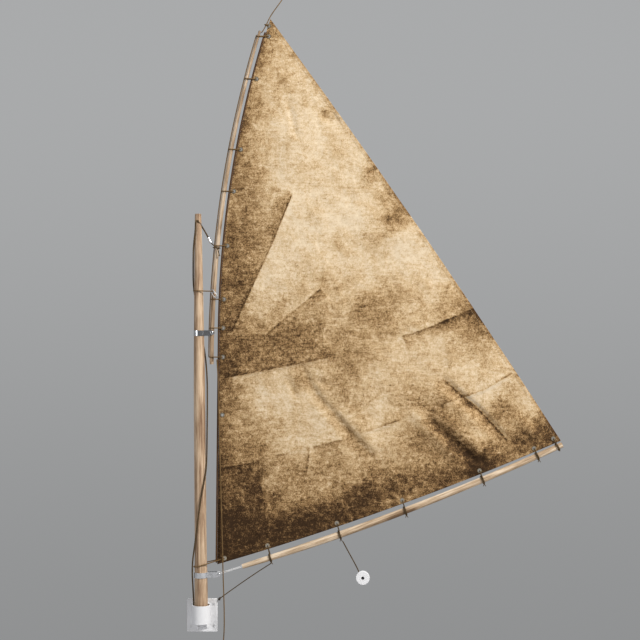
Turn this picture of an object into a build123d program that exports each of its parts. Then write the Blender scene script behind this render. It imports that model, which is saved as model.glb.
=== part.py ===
from build123d import *
from math import acos, atan2, cos, degrees, radians, sin, sqrt, tan
import os

# A small gunter sail rig that hangs on a wall: mast in a wall socket, bent yard, boom, canvas and its cords.
# Millimetres. The wall is the plane Y = 0, +X runs out along the boom and +Z is up.
# The origin is the middle of the wall socket's back face.

# ---------------------------------------------------------------- driving dimensions
RIG_Y = -36.0            # plane shared by the mast, the spars and the sail
UP = Vector(0, 0, 1)
ACROSS = Vector(0, 1, 0)  # square to the sail

PLATE_W, PLATE_H, PLATE_T = 84.0, 92.0, 5.0
HOLE_DX, HOLE_DZ, HOLE_R, COUNTERSINK_R = 62.0, 60.0, 2.25, 4.4
SCREW_R, SCREW_NECK_R, SCREW_HEAD_R, SCREW_LENGTH = 2.0, 1.6, 4.1, 30.0
CUP_R, CUP_BORE_R, CUP_LOW, CUP_HIGH, CUP_FLOOR = 25.5, 23.3, -14.0, 36.0, 3.0

MAST_HEEL_Z, MAST_HEAD_Z, MAST_LEAN = -10.7, 1111.0, -9.0
MAST_STATIONS = [(MAST_HEEL_Z, 18.3), (60, 18.2), (158, 16.9), (300, 16.2), (500, 16.0),
                 (650, 15.4), (790, 13.8), (900, 12.3), (1038, 10.3), (MAST_HEAD_Z, 8.7)]

YARD_HEEL, YARD_TIP, YARD_BOW = (28.5, 697.5), (161.0, 1614.0), 33.8
YARD_STATIONS = [(0, 5.6), (0.1, 6.0), (0.45, 5.9), (0.7, 5.2), (0.9, 4.2), (1, 3.4)]
BOOM_INNER, BOOM_OUTER, BOOM_BOW = (113.0, 141.0), (993.0, 476.0), -16.0
BOOM_STATIONS = [(0, 6.4), (0.06, 7.6), (0.16, 8.8), (0.45, 9.2), (0.75, 8.6), (1, 7.4)]

SAIL_T = 1.2
TACK, CLEW, HEAD = (44.0, 147.0), (989.0, 487.0), (190.0, 1647.0)
LUFF_KNEE, LUFF_R = (50.0, 760.0), 2880.0     # straight below the knee, an arc above it
LEECH_ROUND, FOOT_ROUND = 10.0, 16.0
BOLT_ROPE_R = 2.4

EYELET_R, EYELET_BORE, EYELET_FLANGE_T = 6.2, 3.2, 0.8
EYELET_INSET = 10.0       # from the cloth's edge to an eyelet's centre
YARD_EYELETS = [1599.0, 1482.0, 1288.0, 1173.0, 1023.0, 876.0, 797.0, 717.0]   # heights, laced to the yard
LACING_JOIN = 1098.0      # where the lacing's two lengths meet
FREE_EYELET = 558.0
TACK_EYELET, CLEW_EYELET, HEAD_EYELET = (64.0, 164.0), (968.0, 493.0), (186.0, 1628.0)
BOOM_EYELETS = [191.0, 382.0, 562.0, 775.0, 925.0]                             # X of each lashing on the boom

CORD_R = 1.4              # lacing and lashings
HALYARD_R, LINE_R, SHEET_R = 2.0, 1.3, 1.5
CLEAR = 0.35              # between a cord and what it bears on

BAND_H, BAND_T = 15.0, 1.3
LOWER_BAND_Z, UPPER_BAND_Z = 118.5, 783.0
GOOSENECK = (47.0, 120.8)     # the boom's pivot bolt
BOLT_R, BOLT_HOLE_R, BOLT_HEAD_R, BOLT_HEAD_H = 2.45, 2.6, 4.75, 2.8
NUT_AF, NUT_H = 8.0, 4.0
ROD_R, ROD_IN_BOOM = 2.75, 42.0

PEG_R, PEG_T, PEG_STEM_R, PEG_REACH = 19.0, 10.0, 7.0, 32.0
SHEET_PEG, HEAD_PEG, TACK_PEG = (444.5, 108.0), (249.5, 1750.0), (65.3, -114.0)
PEG_BORE_R, PEG_SCREW_R, PEG_SCREW_HEAD_R, PEG_SCREW_IN_WALL = 2.3, 2.2, 4.2, 26.0
VANG_EYE = (47.5, 45.0)       # screw eye beside the socket plate

os.makedirs("parts", exist_ok=True)


# ---------------------------------------------------------------- geometry helpers
def at(x, z, y=RIG_Y):
    """A point of the rig, from its place in the sail's plane."""
    return Vector(x, y, z)


def between(table, value):
    """Linear look-up in a table of (position, size)."""
    for (a, low), (b, high) in zip(table, table[1:]):
        if value <= b:
            return low + (high - low) * (value - a) / (b - a)
    return table[-1][1]


def rod(start, end, radius):
    """A round bar between two points."""
    axis = end - start
    return extrude(Plane(origin=start, z_dir=axis) * Circle(radius), axis.length)


def ring(centre, axis, radius, cord_radius):
    """A closed turn of cord."""
    return Plane(origin=centre, z_dir=axis) * Torus(radius, cord_radius)


def knot(centre, radius, way=Vector(0.3, 0.1, 1)):
    """A small overhand knot's outer shape: a rounded barrel."""
    reach = way.normalized() * (radius * 1.15)
    return fillet(rod(centre - reach, centre + reach, radius).edges(), radius * 0.6)


class Bow:
    """A circular arc in the rig's plane, from its chord and its bow to the chord's left."""

    def __init__(self, start, end, bow):
        self.start, self.end, self.bow = at(*start), at(*end), bow
        chord = self.end - self.start
        self.along = chord.normalized()
        self.left = Vector(-self.along.Z, 0, self.along.X)
        self.radius = chord.length**2 / (8 * abs(bow)) + abs(bow) / 2
        middle = (self.start + self.end) * 0.5
        self.side = 1 if bow > 0 else -1
        self.centre = middle + self.left * (bow - self.side * self.radius)
        self.half = acos((self.radius - abs(bow)) / self.radius)

    def point(self, t, offset=0.0):
        """The point at share t of the arc, moved by offset to the left of the way along it."""
        turn = self.half * (2 * t - 1)
        out = self.left * (self.side * cos(turn)) + self.along * sin(turn)
        return self.centre + out * (self.radius + self.side * offset)

    def tangent(self, t):
        turn = self.half * (2 * t - 1)
        return (self.along * cos(turn) - self.left * (self.side * sin(turn))).normalized()

    def share_at(self, value, coordinate):
        """The share of the arc at which a coordinate, X or Z, has that value."""
        low, high = 0.0, 1.0
        for _ in range(40):
            middle = (low + high) / 2
            if getattr(self.point(middle), coordinate) < value:
                low = middle
            else:
                high = middle
        return (low + high) / 2


def spar(bow, stations):
    """A tapered round spar along an arc."""
    return loft([Plane(origin=bow.point(t), z_dir=bow.tangent(t)) * Circle(r) for t, r in stations])


def turning_radii(points):
    """The largest fair arc at each corner of a cord's route."""
    radii = []
    for a, b, c in zip(points, points[1:], points[2:]):
        turn = radians((b - a).get_angle(c - b))
        radii.append(0.45 * min((b - a).length, (c - b).length) / tan(turn / 2))
    return radii


def cord(points, radius, name=None):
    """A cord's tube along straight runs and tangent arcs."""
    radii = turning_radii(points)
    path = FilletPolyline(*points, radius=radii)
    tube = sweep(Plane(origin=path @ 0, z_dir=path % 0) * Circle(radius), path=path)
    if name:
        share = tube.volume / (3.14159265 * radius**2 * path.length)
        print(f"{name}: {path.length:.0f} mm long, radii {[round(r) for r in radii]}, volume share {share:.3f}")
    return tube


def lashing_loop(centre, eye, spar_radius, side=ACROSS, cord_radius=CORD_R, eye_bend=3.0):
    """A cord round a spar and through an eyelet: two arcs and the straight strands that join them."""
    reach = (eye - centre).normalized()
    big = spar_radius + cord_radius + CLEAR
    gap = (eye - centre).length - eye_bend
    lean = acos((big - eye_bend) / gap)
    plane = Plane(origin=centre, x_dir=reach, z_dir=reach.cross(side))

    def place(x, y):
        return plane.from_local_coords(Vector(x, y, 0))

    front = Line(place(big * cos(lean), big * sin(lean)), place(gap + eye_bend * cos(lean), eye_bend * sin(lean)))
    back = Line(place(gap + eye_bend * cos(lean), -eye_bend * sin(lean)), place(big * cos(lean), -big * sin(lean)))
    nose = ThreePointArc(front @ 1, place(gap + eye_bend, 0), back @ 0)
    round_spar = ThreePointArc(back @ 1, place(-big, 0), front @ 0)
    path = Wire([front, nose, back, round_spar])
    return sweep(Plane(origin=front @ 0, z_dir=front % 0) * Circle(cord_radius), path=path)


def export(name, *shapes):
    """Writes one node, of one solid or several separate ones."""
    solids = [solid for shape in shapes for solid in shape.solids()]
    node = solids[0] if len(solids) == 1 else Compound(solids)
    export_step(node, f"parts/{name}.step")


# ---------------------------------------------------------------- lines of the rig
yard_line = Bow(YARD_HEEL, YARD_TIP, YARD_BOW)
boom_line = Bow(BOOM_INNER, BOOM_OUTER, BOOM_BOW)


def mast_x(z):
    return MAST_LEAN * (z - MAST_HEEL_Z) / (MAST_HEAD_Z - MAST_HEEL_Z)


def mast_radius(z):
    return between(MAST_STATIONS, z)


def mast_point(z):
    return at(mast_x(z), z)


def round_mast(turn, z, off):
    """A point beside the mast: turn is 0 in front and 90 on the side away from the sail, off from its surface."""
    reach = mast_radius(z) + off
    return at(mast_x(z) - reach * sin(radians(turn)), z, RIG_Y - reach * cos(radians(turn)))


def luff_x(z):
    if z <= LUFF_KNEE[1]:
        return TACK[0] + (LUFF_KNEE[0] - TACK[0]) * (z - TACK[1]) / (LUFF_KNEE[1] - TACK[1])
    return LUFF_KNEE[0] + LUFF_R - sqrt(LUFF_R**2 - (z - LUFF_KNEE[1]) ** 2)


def luff_eyelet(z):
    slope = (luff_x(z + 1) - luff_x(z - 1)) / 2
    return at(luff_x(z) + EYELET_INSET / cos(atan2(slope, 1)), z)


foot_line = Bow(TACK, CLEW, -FOOT_ROUND)
leech_line = Bow(HEAD, CLEW, LEECH_ROUND)


def foot_eyelet(x):
    return foot_line.point(foot_line.share_at(x - 6, "X"), EYELET_INSET)


# ---------------------------------------------------------------- wall socket
def wall_socket():
    """One moulding: back plate, open cup for the mast's heel, and two ribs under the cup."""
    plate = fillet(Box(PLATE_W, PLATE_T, PLATE_H).edges().filter_by(Axis.Y), 3.0)
    plate = chamfer(plate.faces().sort_by(Axis.Y)[0].edges(), 1.0)
    plate = Pos(0, -PLATE_T / 2, 0) * plate
    height = CUP_HIGH - CUP_LOW
    middle = (CUP_HIGH + CUP_LOW) / 2
    cup = Pos(0, RIG_Y, middle) * Cylinder(CUP_R, height)
    web_depth = -RIG_Y - PLATE_T + 1
    web = Pos(0, RIG_Y / 2 - PLATE_T / 2 + 0.5, middle) * Box(2 * CUP_R - 8, web_depth, height)
    body = plate + cup + web
    rib = Polyline((-PLATE_T + 1, CUP_LOW + 1), (RIG_Y + 4, CUP_LOW + 1), (-PLATE_T + 1, CUP_LOW - 24), close=True)
    for x in (-12.5, 12.5):
        body += extrude(Plane(origin=(x, 0, 0), x_dir=(0, 1, 0), z_dir=(1, 0, 0)) * make_face(rib), 1.5, both=True)
    body -= Pos(0, RIG_Y, CUP_HIGH) * Cylinder(CUP_BORE_R, 2 * (height - CUP_FLOOR))
    body -= Pos(0, RIG_Y, CUP_LOW) * Cylinder(4.0, 4 * CUP_FLOOR)     # drain
    for x in (-HOLE_DX / 2, HOLE_DX / 2):
        for z in (-HOLE_DZ / 2, HOLE_DZ / 2):
            body -= rod(at(x, z, 1), at(x, z, -PLATE_T - 1), HOLE_R)
            mouth = Plane(origin=(x, -PLATE_T - 0.01, z), z_dir=(0, 1, 0))
            body -= mouth * Pos(0, 0, 1.1) * Cone(COUNTERSINK_R, HOLE_R, 2.2)
    lip = body.edges().filter_by(GeomType.CIRCLE).group_by(Axis.Z)[-1]
    return fillet(lip, 0.9)


def plate_screws():
    """Four countersunk wood screws through the plate into the wall."""
    screws = []
    for x in (-HOLE_DX / 2, HOLE_DX / 2):
        for z in (-HOLE_DZ / 2, HOLE_DZ / 2):
            cone = Cone(SCREW_HEAD_R, SCREW_NECK_R, 2.2)
            head = Plane(origin=(x, -PLATE_T + 0.1, z), z_dir=(0, 1, 0)) * Pos(0, 0, 1.1) * cone
            neck = rod(at(x, z, -PLATE_T + 1), at(x, z, 0.5), SCREW_NECK_R)
            screw = head + neck + rod(at(x, z, 0), at(x, z, SCREW_LENGTH - PLATE_T), SCREW_R)
            for turn in (0, 90):
                slot = Plane(origin=(x, -PLATE_T, z), z_dir=(0, 1, 0)) * Rot(0, 0, turn) * Rectangle(4.2, 0.9)
                screw -= extrude(slot, 1.3)
            screws.append(screw)
    return screws


# ---------------------------------------------------------------- spars
HALYARD_IN, HALYARD_OUT = at(0.6, 1078), at(-9.4, 1090, RIG_Y - 9.6)      # ends of the masthead hole


def mast():
    """Turned spar: a square-cut head and a heel that stands in the cup."""
    low, high = mast_radius(MAST_HEEL_Z), mast_radius(MAST_HEAD_Z)
    side = Spline([(r, z - MAST_HEEL_Z) for z, r in MAST_STATIONS[:-1]] + [(high, MAST_HEAD_Z - MAST_HEEL_Z - 0.8)])
    length = MAST_HEAD_Z - MAST_HEEL_Z
    ends = Polyline(side @ 1, (high - 0.8, length), (0, length), (0, 0), (low, 0))
    body = revolve(Plane.XZ * make_face([side, ends]), Axis.Z)
    body = Pos(0, RIG_Y, MAST_HEEL_Z) * Rot(0, degrees(atan2(MAST_LEAN, length)), 0) * body
    way = (HALYARD_OUT - HALYARD_IN).normalized()
    return body - rod(HALYARD_IN - way * 12, HALYARD_OUT + way * 12, HALYARD_R + 1.0)


YARD_BOLT = yard_line.point(yard_line.share_at(UPPER_BAND_Z + 1, "Z"))


def yard():
    body = spar(yard_line, YARD_STATIONS)
    return body - rod(YARD_BOLT - ACROSS * 12, YARD_BOLT + ACROSS * 12, BOLT_HOLE_R)


def boom():
    body = spar(boom_line, BOOM_STATIONS)
    inner = boom_line.point(0)
    return body - rod(inner - boom_line.tangent(0) * 2, inner + boom_line.tangent(0) * (ROD_IN_BOOM + 1), ROD_R + 0.05)


# ---------------------------------------------------------------- metalwork
def mast_band(z, eye, throat):
    """A strap round the mast whose two ears reach out on both sides of the pivot, ending in round eyes."""
    inner = max(mast_radius(z - BAND_H / 2), mast_radius(z + BAND_H / 2)) + 0.15
    outer = inner + BAND_T
    centre = mast_point(z)
    strap = Cylinder(outer, BAND_H) - Cylinder(inner, BAND_H + 1)
    strap = Pos(centre) * strap
    strap -= Pos(centre + Vector(outer, 0, 0)) * Box(outer, throat, BAND_H + 1)
    root = Vector(centre.X + sqrt(outer**2 - (throat / 2 + BAND_T) ** 2) - 0.6, 0, 0)
    tip_r = 6.6
    for side in (-1, 1):
        y = RIG_Y + side * (throat + BAND_T) / 2
        face = Plane(origin=(0, y, 0), x_dir=(1, 0, 0), z_dir=(0, -1, 0))
        ear = make_hull([
            Line((root.X, z - BAND_H / 2), (root.X, z + BAND_H / 2)),
            Line((eye.X - 9, z - BAND_H / 2), (eye.X - 9, z + BAND_H / 2)),
            CenterArc((eye.X, eye.Z), tip_r, 0, 360),
        ])
        strap += extrude(face * ear, BAND_T / 2, both=True)
    return strap - rod(at(eye.X, eye.Z, RIG_Y - 30), at(eye.X, eye.Z, RIG_Y + 30), BOLT_HOLE_R)


def pivot_bolt(eye, throat):
    """Button head screw with a hexagon socket, through both ears from the front."""
    face_y = RIG_Y - throat / 2 - BAND_T
    back_y = RIG_Y + throat / 2 + BAND_T
    shank = rod(at(eye.X, eye.Z, face_y), at(eye.X, eye.Z, back_y + NUT_H + 2.5), BOLT_R)
    head = Plane(origin=(eye.X, face_y, eye.Z), z_dir=(0, -1, 0)) * Cylinder(
        BOLT_HEAD_R, BOLT_HEAD_H, align=(Align.CENTER, Align.CENTER, Align.MIN))
    head = fillet(head.edges().sort_by(Axis.Y)[0], 2.0)
    socket = Plane(origin=(eye.X, face_y - BOLT_HEAD_H, eye.Z), z_dir=(0, 1, 0)) * RegularPolygon(1.75, 6)
    return head + shank - extrude(socket, 1.8)


def pivot_nut(eye, throat):
    back_y = RIG_Y + throat / 2 + BAND_T
    seat = Plane(origin=(eye.X, back_y, eye.Z), z_dir=(0, 1, 0))
    return extrude(seat * (RegularPolygon(NUT_AF / 2, 6, major_radius=False) - Circle(BOLT_HOLE_R)), NUT_H)


GOOSENECK_THROAT, YARD_THROAT = 8.4, 12.3
GOOSENECK_EYE = at(*GOOSENECK)


def gooseneck_rod():
    """Eye rod: an eye between the lower band's ears and a plain shank glued into the boom."""
    eye_ring = Plane(origin=GOOSENECK_EYE, z_dir=ACROSS) * (Cylinder(6.4, 8.0) - Cylinder(BOLT_R + 0.15, 9))
    end = boom_line.point(0) + boom_line.tangent(0) * ROD_IN_BOOM
    way = (end - GOOSENECK_EYE).normalized()
    return eye_ring + rod(GOOSENECK_EYE + way * 5.6, end, ROD_R)


# ---------------------------------------------------------------- sail
def sail_outline():
    tack, clew, head, knee = at(*TACK, y=0), at(*CLEW, y=0), at(*HEAD, y=0), at(*LUFF_KNEE, y=0)
    half_way = (LUFF_KNEE[1] + HEAD[1]) / 2
    flat = [Vector(p.X, p.Z, 0) for p in (tack, knee, at(luff_x(half_way), half_way, 0), head, clew)]
    leech_mid, foot_mid = leech_line.point(0.5), foot_line.point(0.5)
    edges = [
        Line(flat[0], flat[1]),
        ThreePointArc(flat[1], flat[2], flat[3]),
        ThreePointArc(flat[3], Vector(leech_mid.X, leech_mid.Z, 0), flat[4]),
        ThreePointArc(flat[4], Vector(foot_mid.X, foot_mid.Z, 0), flat[0]),
    ]
    return make_face(edges)


EYELETS = ([luff_eyelet(z) for z in YARD_EYELETS + [FREE_EYELET]] + [foot_eyelet(x) for x in BOOM_EYELETS]
           + [at(*p) for p in (TACK_EYELET, CLEW_EYELET, HEAD_EYELET)])


def sail():
    face = Plane(origin=(0, RIG_Y, 0), x_dir=(1, 0, 0), z_dir=(0, -1, 0)) * sail_outline()
    cloth = extrude(face, SAIL_T / 2, both=True)
    for eyelet in EYELETS:
        cloth -= rod(eyelet - ACROSS * 5, eyelet + ACROSS * 5, EYELET_BORE + 0.8)
    return cloth


def eyelets():
    """Two-part brass eyelets: a barrel through the cloth and a flange on each face."""
    outer = SAIL_T / 2 + EYELET_FLANGE_T
    flat = SAIL_T / 2 + 0.05
    one = Cylinder(EYELET_R, 2 * outer) - Cylinder(EYELET_R + 1, 2 * flat) + Cylinder(EYELET_BORE + 0.7, 2 * flat)
    one -= Cylinder(EYELET_BORE, 2 * outer + 1)
    return [Plane(origin=point, z_dir=ACROSS) * one for point in EYELETS]


def luff_bolt_rope():
    """A rope sewn along the luff's edge."""
    off = BOLT_ROPE_R + 0.2
    low, knee = at(TACK[0] - off, TACK[1] + 4), at(LUFF_KNEE[0] - off, LUFF_KNEE[1])
    half_way, top = (LUFF_KNEE[1] + HEAD[1]) / 2, HEAD[1] - 36
    path = Wire([
        Line(low, knee),
        ThreePointArc(knee, at(luff_x(half_way) - off * 1.01, half_way), at(luff_x(top) - off * 1.04, top)),
    ])
    return sweep(Plane(origin=low, z_dir=path % 0) * Circle(BOLT_ROPE_R), path=path, transition=Transition.ROUND)


# ---------------------------------------------------------------- lacing and lashings
def yard_lacing(high, low, heights):
    """A length of the line run down the yard and hitched round it at every eyelet."""
    def beside(z):
        t = yard_line.share_at(z, "Z")
        return yard_line.point(t, between(YARD_STATIONS, t) + CORD_R + 0.8)

    run = ThreePointArc(beside(high), beside((high + low) / 2), beside(low))
    line = sweep(Plane(origin=run @ 0, z_dir=run % 0) * Circle(CORD_R), path=run)
    for z in heights:
        t = yard_line.share_at(z, "Z")
        line += lashing_loop(yard_line.point(t), luff_eyelet(z), between(YARD_STATIONS, t))
    return line


def double_lashing(x, eye, knot_radius, tails=()):
    """Two turns round the boom, one of them through an eyelet, tied off below with its ends left hanging."""
    t = boom_line.share_at(x, "X")
    centre = boom_line.point(t)
    size = between(BOOM_STATIONS, t) + 0.6
    axis = (eye - centre).cross(ACROSS).normalized()
    shift = axis * (2 * CORD_R + 0.15)
    below = centre + shift * 0.5 - (eye - centre).normalized() * (size + CORD_R + 1.2) - ACROSS * 3
    tie = ring(centre + shift, axis, size + CORD_R + CLEAR, CORD_R) + knot(below, knot_radius, axis)
    for lean in tails:
        tie += rod(below + Vector(lean, 0.3, 1), below + Vector(lean * 7, -1.5, -11), CORD_R * 0.85)
    return tie + lashing_loop(centre, eye, size)


def boom_lashing(x):
    return double_lashing(x, foot_eyelet(x), 2.8, (-0.7, 1.1))


def clew_lashing():
    return double_lashing(BOOM_OUTER[0] - 12, at(*CLEW_EYELET), 2.7)


def tack_lashing():
    """A slanting loop round the mast and through the tack's eyelet."""
    z = 146.0
    return lashing_loop(mast_point(z), at(*TACK_EYELET), mast_radius(z) + 1.1)


def head_lashing():
    """A loop round the head line and through the head's eyelet."""
    return lashing_loop(at(178.6, 1630.4), at(*HEAD_EYELET), LINE_R + 1.1)


PARREL_Z = 899.0
HOOK_EYE = at(30.5, PARREL_Z - 1, RIG_Y - 10.4)


def parrel():
    """A loop round the mast that ends in the snap hook's eye."""
    z = PARREL_Z
    reach = (HOOK_EYE - mast_point(z)).normalized()
    return lashing_loop(mast_point(z), HOOK_EYE, mast_radius(z) + 0.3, side=UP.cross(reach), eye_bend=3.6)


# ---------------------------------------------------------------- snap hook
HOOK_WIRE, HOOK_LONG, HOOK_WIDE = 1.25, 21.0, 11.0
HOOK_WAY = Vector(0.58, 0, -0.81).normalized()
HOOK_PLANE = Plane(origin=HOOK_EYE, x_dir=HOOK_WAY, z_dir=ACROSS)
HOOK_FLANK = (HOOK_WIDE - 2 * HOOK_WIRE) / 2
HOOK_START, HOOK_END = 5.2, HOOK_LONG - HOOK_FLANK


def snap_hook():
    """Bent wire: a small eye for the parrel, a straight back and a round nose that the gate closes."""
    eye = ring(HOOK_PLANE.from_local_coords(Vector(0, 0, 0)), ACROSS, 3.0 + HOOK_WIRE, HOOK_WIRE)

    def place(x, y):
        return HOOK_PLANE.from_local_coords(Vector(x, y, 0))

    path = Wire([
        Line(place(3.6, 0), place(HOOK_START, -HOOK_FLANK)),
        Line(place(HOOK_START, -HOOK_FLANK), place(HOOK_END, -HOOK_FLANK)),
        ThreePointArc(place(HOOK_END, -HOOK_FLANK), place(HOOK_END + HOOK_FLANK, 0), place(HOOK_END, HOOK_FLANK)),
    ])
    body = sweep(Plane(origin=path @ 0, z_dir=path % 0) * Circle(HOOK_WIRE), path=path, transition=Transition.ROUND)
    horn = rod(place(3.6, 0), place(HOOK_START - 0.4, HOOK_FLANK), HOOK_WIRE)
    lug = Plane(origin=place(HOOK_START - 0.2, HOOK_FLANK), z_dir=ACROSS) * Cylinder(1.5, 3.6)
    return eye + body + horn + lug


def snap_gate():
    """The sprung gate that closes the hook's mouth."""
    start = HOOK_PLANE.from_local_coords(Vector(HOOK_START + 1.9, HOOK_FLANK, 0))
    end = HOOK_PLANE.from_local_coords(Vector(HOOK_END - 0.5, HOOK_FLANK, 0))
    return rod(start, end, HOOK_WIRE - 0.1)


# ---------------------------------------------------------------- halyard and its fittings
FERRULE_LOW, FERRULE_HIGH, FERRULE_R = at(27.5, 1030.4, RIG_Y - 1.6), at(19.4, 1045.3), 3.9
# Turn round the mast, height and stand-off from its surface, from the masthead down into the socket.
HALYARD_WINDING = [
    (30, 1064, 4.0), (50, 1036, 3.6), (72, 1010, 3.4), (88, 982, 3.2), (104, 950, 4.0),
    (122, 918, 6.4), (140, 886, 6.6), (158, 852, 4.4), (176, 820, 4.2), (192, 788, 4.6),
    (210, 757, 4.6), (232, 730, 3.8), (252, 698, 4.6), (264, 655, 6.3), (269, 600, 5.9),
    (272, 545, 5.0), (275, 490, 3.9), (281, 445, 3.3), (297, 408, 3.6), (320, 378, 3.8),
    (342, 345, 3.6), (360, 308, 3.3), (377, 268, 3.3), (394, 230, 3.4), (410, 194, 4.4),
    (425, 160, 6.9), (438, 126, 6.9), (446, 88, 4.6), (450, 44, 2.25), (451, 2, 2.2),
]


def halyard_route():
    way = (HALYARD_OUT - HALYARD_IN).normalized()
    head = [FERRULE_HIGH, HALYARD_IN - way * 6, HALYARD_IN + way * 20.6, at(-12.7, 1091.5, RIG_Y - 16.4),
            at(-13.75, 1085.2, RIG_Y - 19.2), at(-14.4, 1075.5, RIG_Y - 16.3)]
    return head + [round_mast(*station) for station in HALYARD_WINDING]


def halyard_ferrule():
    sleeve = rod(FERRULE_HIGH, FERRULE_LOW, FERRULE_R)
    return fillet(sleeve.edges(), 1.1)


def halyard_strop():
    """From the ferrule to a hitch round the yard, with a knotted tail."""
    hitch = yard_line.point(yard_line.share_at(1017.5, "Z"))
    way = yard_line.tangent(yard_line.share_at(1017.5, "Z"))
    size = between(YARD_STATIONS, 0.4) + 3.7
    over_lacing = hitch - Vector(1.8, 0, 0)
    strop = ring(over_lacing, way, size, CORD_R)
    strop += rod(FERRULE_LOW, over_lacing + Vector(-1.0, -size + 0.2, 0.4), CORD_R)
    tail = hitch + Vector(6.5, -size - 1.6, -22)
    strop += rod(over_lacing + Vector(1.5, -size - 0.2, 0), tail, CORD_R)
    return strop + knot(tail, 2.5)


# ---------------------------------------------------------------- lines made fast to the wall
HEAD_LINE = [at(165.5, 1607, -42), at(173, 1619, -38.6), at(180.5, 1634.5, -36.1), at(188, 1651, -35.9),
             at(198, 1667.5, -33), at(209.5, 1684, -29.6), at(222, 1702.5, -25), at(243.6, 1736.5, -15)]
SHEET_LINE = [at(389, 210.5), at(399.5, 190.5, -32), at(411, 168.5, -26.5), at(424, 144, -20.5), at(438.5, 115.8, -13.5)]
VANG_LINE = [at(193, 150.5), at(160, 128.5, -30), at(126, 104.5, -22.5), at(88, 76.5, -14), at(51.8, 49.8, -7.2)]
DOWNHAUL_LINE = [at(43.5, 711, -45.2), at(46.5, 668, -42.4), at(47.6, 610, -41), at(49.2, 545, -41.1),
                 at(50.5, 480, -41.2), at(52.6, 415, -41.4), at(54.2, 350, -41.9), at(56.4, 285, -42.8),
                 at(57.9, 225, -44.2), at(59.6, 172, -45.6), at(60.4, 120, -44.9), at(61.8, 68, -37.6),
                 at(62.6, 16, -30.4), at(63.8, -36, -22.6), at(64.6, -92.5, -13.5)]


def peg(x, z):
    """A white knob: a disc on a stem, with a countersunk hole for its wall screw."""
    stem = rod(at(x, z, 0), at(x, z, -PEG_REACH + PEG_T - 1), PEG_STEM_R)
    disc = rod(at(x, z, -PEG_REACH + PEG_T), at(x, z, -PEG_REACH), PEG_R)
    knob = stem + fillet(disc.edges(), 1.4)
    knob -= rod(at(x, z, 2), at(x, z, -PEG_REACH - 2), PEG_BORE_R)
    return knob - rod(at(x, z, -PEG_REACH + 4.5), at(x, z, -PEG_REACH - 1), PEG_SCREW_HEAD_R + 0.3)


def peg_screw(x, z):
    """A black pan head screw that runs through the knob into the wall."""
    head = rod(at(x, z, -PEG_REACH + 4.45), at(x, z, -PEG_REACH + 1.0), PEG_SCREW_HEAD_R)
    screw = head + rod(at(x, z, -PEG_REACH + 4), at(x, z, PEG_SCREW_IN_WALL), PEG_SCREW_R)
    for turn in (0, 90):
        slot = Plane(origin=(x, -PEG_REACH + 1.0, z), z_dir=(0, 1, 0)) * Rot(0, 0, turn) * Rectangle(5.0, 1.1)
        screw -= extrude(slot, 1.6)
    return screw


def peg_hitch(x, z, cord_radius):
    """The turns that make a line fast behind a peg's disc."""
    size = PEG_STEM_R + cord_radius + CLEAR
    return [ring(at(x, z, y), ACROSS, size, cord_radius) for y in (-11.0 + 2 * cord_radius + 0.2, -11.0)]


def vang_eye():
    """A black screw eye in the wall beside the plate."""
    x, z = VANG_EYE
    eye = ring(at(x, z, -7.2), Vector(0.8, 0, 0.6), 2.9, 1.1)
    return eye + rod(at(x, z, 18), at(x, z, -4.0), 1.3) + rod(at(x, z, 0), at(x, z, -0.8), 3.0)


# ---------------------------------------------------------------- write the nodes
def main():
    export("wall_socket", wall_socket())
    export("plate_screws", *plate_screws())
    export("mast", mast())
    export("yard", yard())
    export("boom", boom())
    export("mast_band_lower", mast_band(LOWER_BAND_Z, GOOSENECK_EYE, GOOSENECK_THROAT))
    export("mast_band_upper", mast_band(UPPER_BAND_Z, YARD_BOLT, YARD_THROAT))
    export("gooseneck_bolt", pivot_bolt(GOOSENECK_EYE, GOOSENECK_THROAT))
    export("gooseneck_nut", pivot_nut(GOOSENECK_EYE, GOOSENECK_THROAT))
    export("yard_bolt", pivot_bolt(YARD_BOLT, YARD_THROAT))
    export("yard_nut", pivot_nut(YARD_BOLT, YARD_THROAT))
    export("gooseneck_rod", gooseneck_rod())
    export("sail", sail())
    rings = eyelets()
    count = len(YARD_EYELETS) + 1
    export("luff_eyelets", *rings[:count])
    export("foot_eyelets", *rings[count:count + len(BOOM_EYELETS)])
    for name, one in zip(("tack_eyelet", "clew_eyelet", "head_eyelet"), rings[-3:]):
        export(name, one)
    export("luff_bolt_rope", luff_bolt_rope())
    export("yard_lacing_upper", yard_lacing(YARD_EYELETS[0] + 3, LACING_JOIN, YARD_EYELETS[:4]))
    export("yard_lacing_lower", yard_lacing(LACING_JOIN, YARD_EYELETS[-1], YARD_EYELETS[4:]))
    for number, x in enumerate(BOOM_EYELETS, 1):
        export(f"boom_lashing_{number}", boom_lashing(x))
    export("clew_lashing", clew_lashing())
    export("tack_lashing", tack_lashing())
    export("head_lashing", head_lashing())
    export("parrel", parrel())
    export("snap_hook", snap_hook())
    export("snap_gate", snap_gate())
    export("halyard", cord(halyard_route(), HALYARD_R, "halyard"))
    export("halyard_ferrule", halyard_ferrule())
    export("halyard_strop", halyard_strop())
    export("head_line", cord(HEAD_LINE, LINE_R, "head_line"))
    export("sheet", cord(SHEET_LINE, SHEET_R, "sheet"))
    export("vang", cord(VANG_LINE, LINE_R, "vang"))
    export("downhaul", cord(DOWNHAUL_LINE, SHEET_R, "downhaul"))
    for name, place, size in (("sheet", SHEET_PEG, SHEET_R), ("head", HEAD_PEG, LINE_R), ("tack", TACK_PEG, SHEET_R)):
        export(f"{name}_peg", peg(*place))
        export(f"{name}_peg_screw", peg_screw(*place))
        export(f"{name}_peg_hitch", *peg_hitch(*place, size))
    export("vang_screw_eye", vang_eye())


main()
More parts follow.
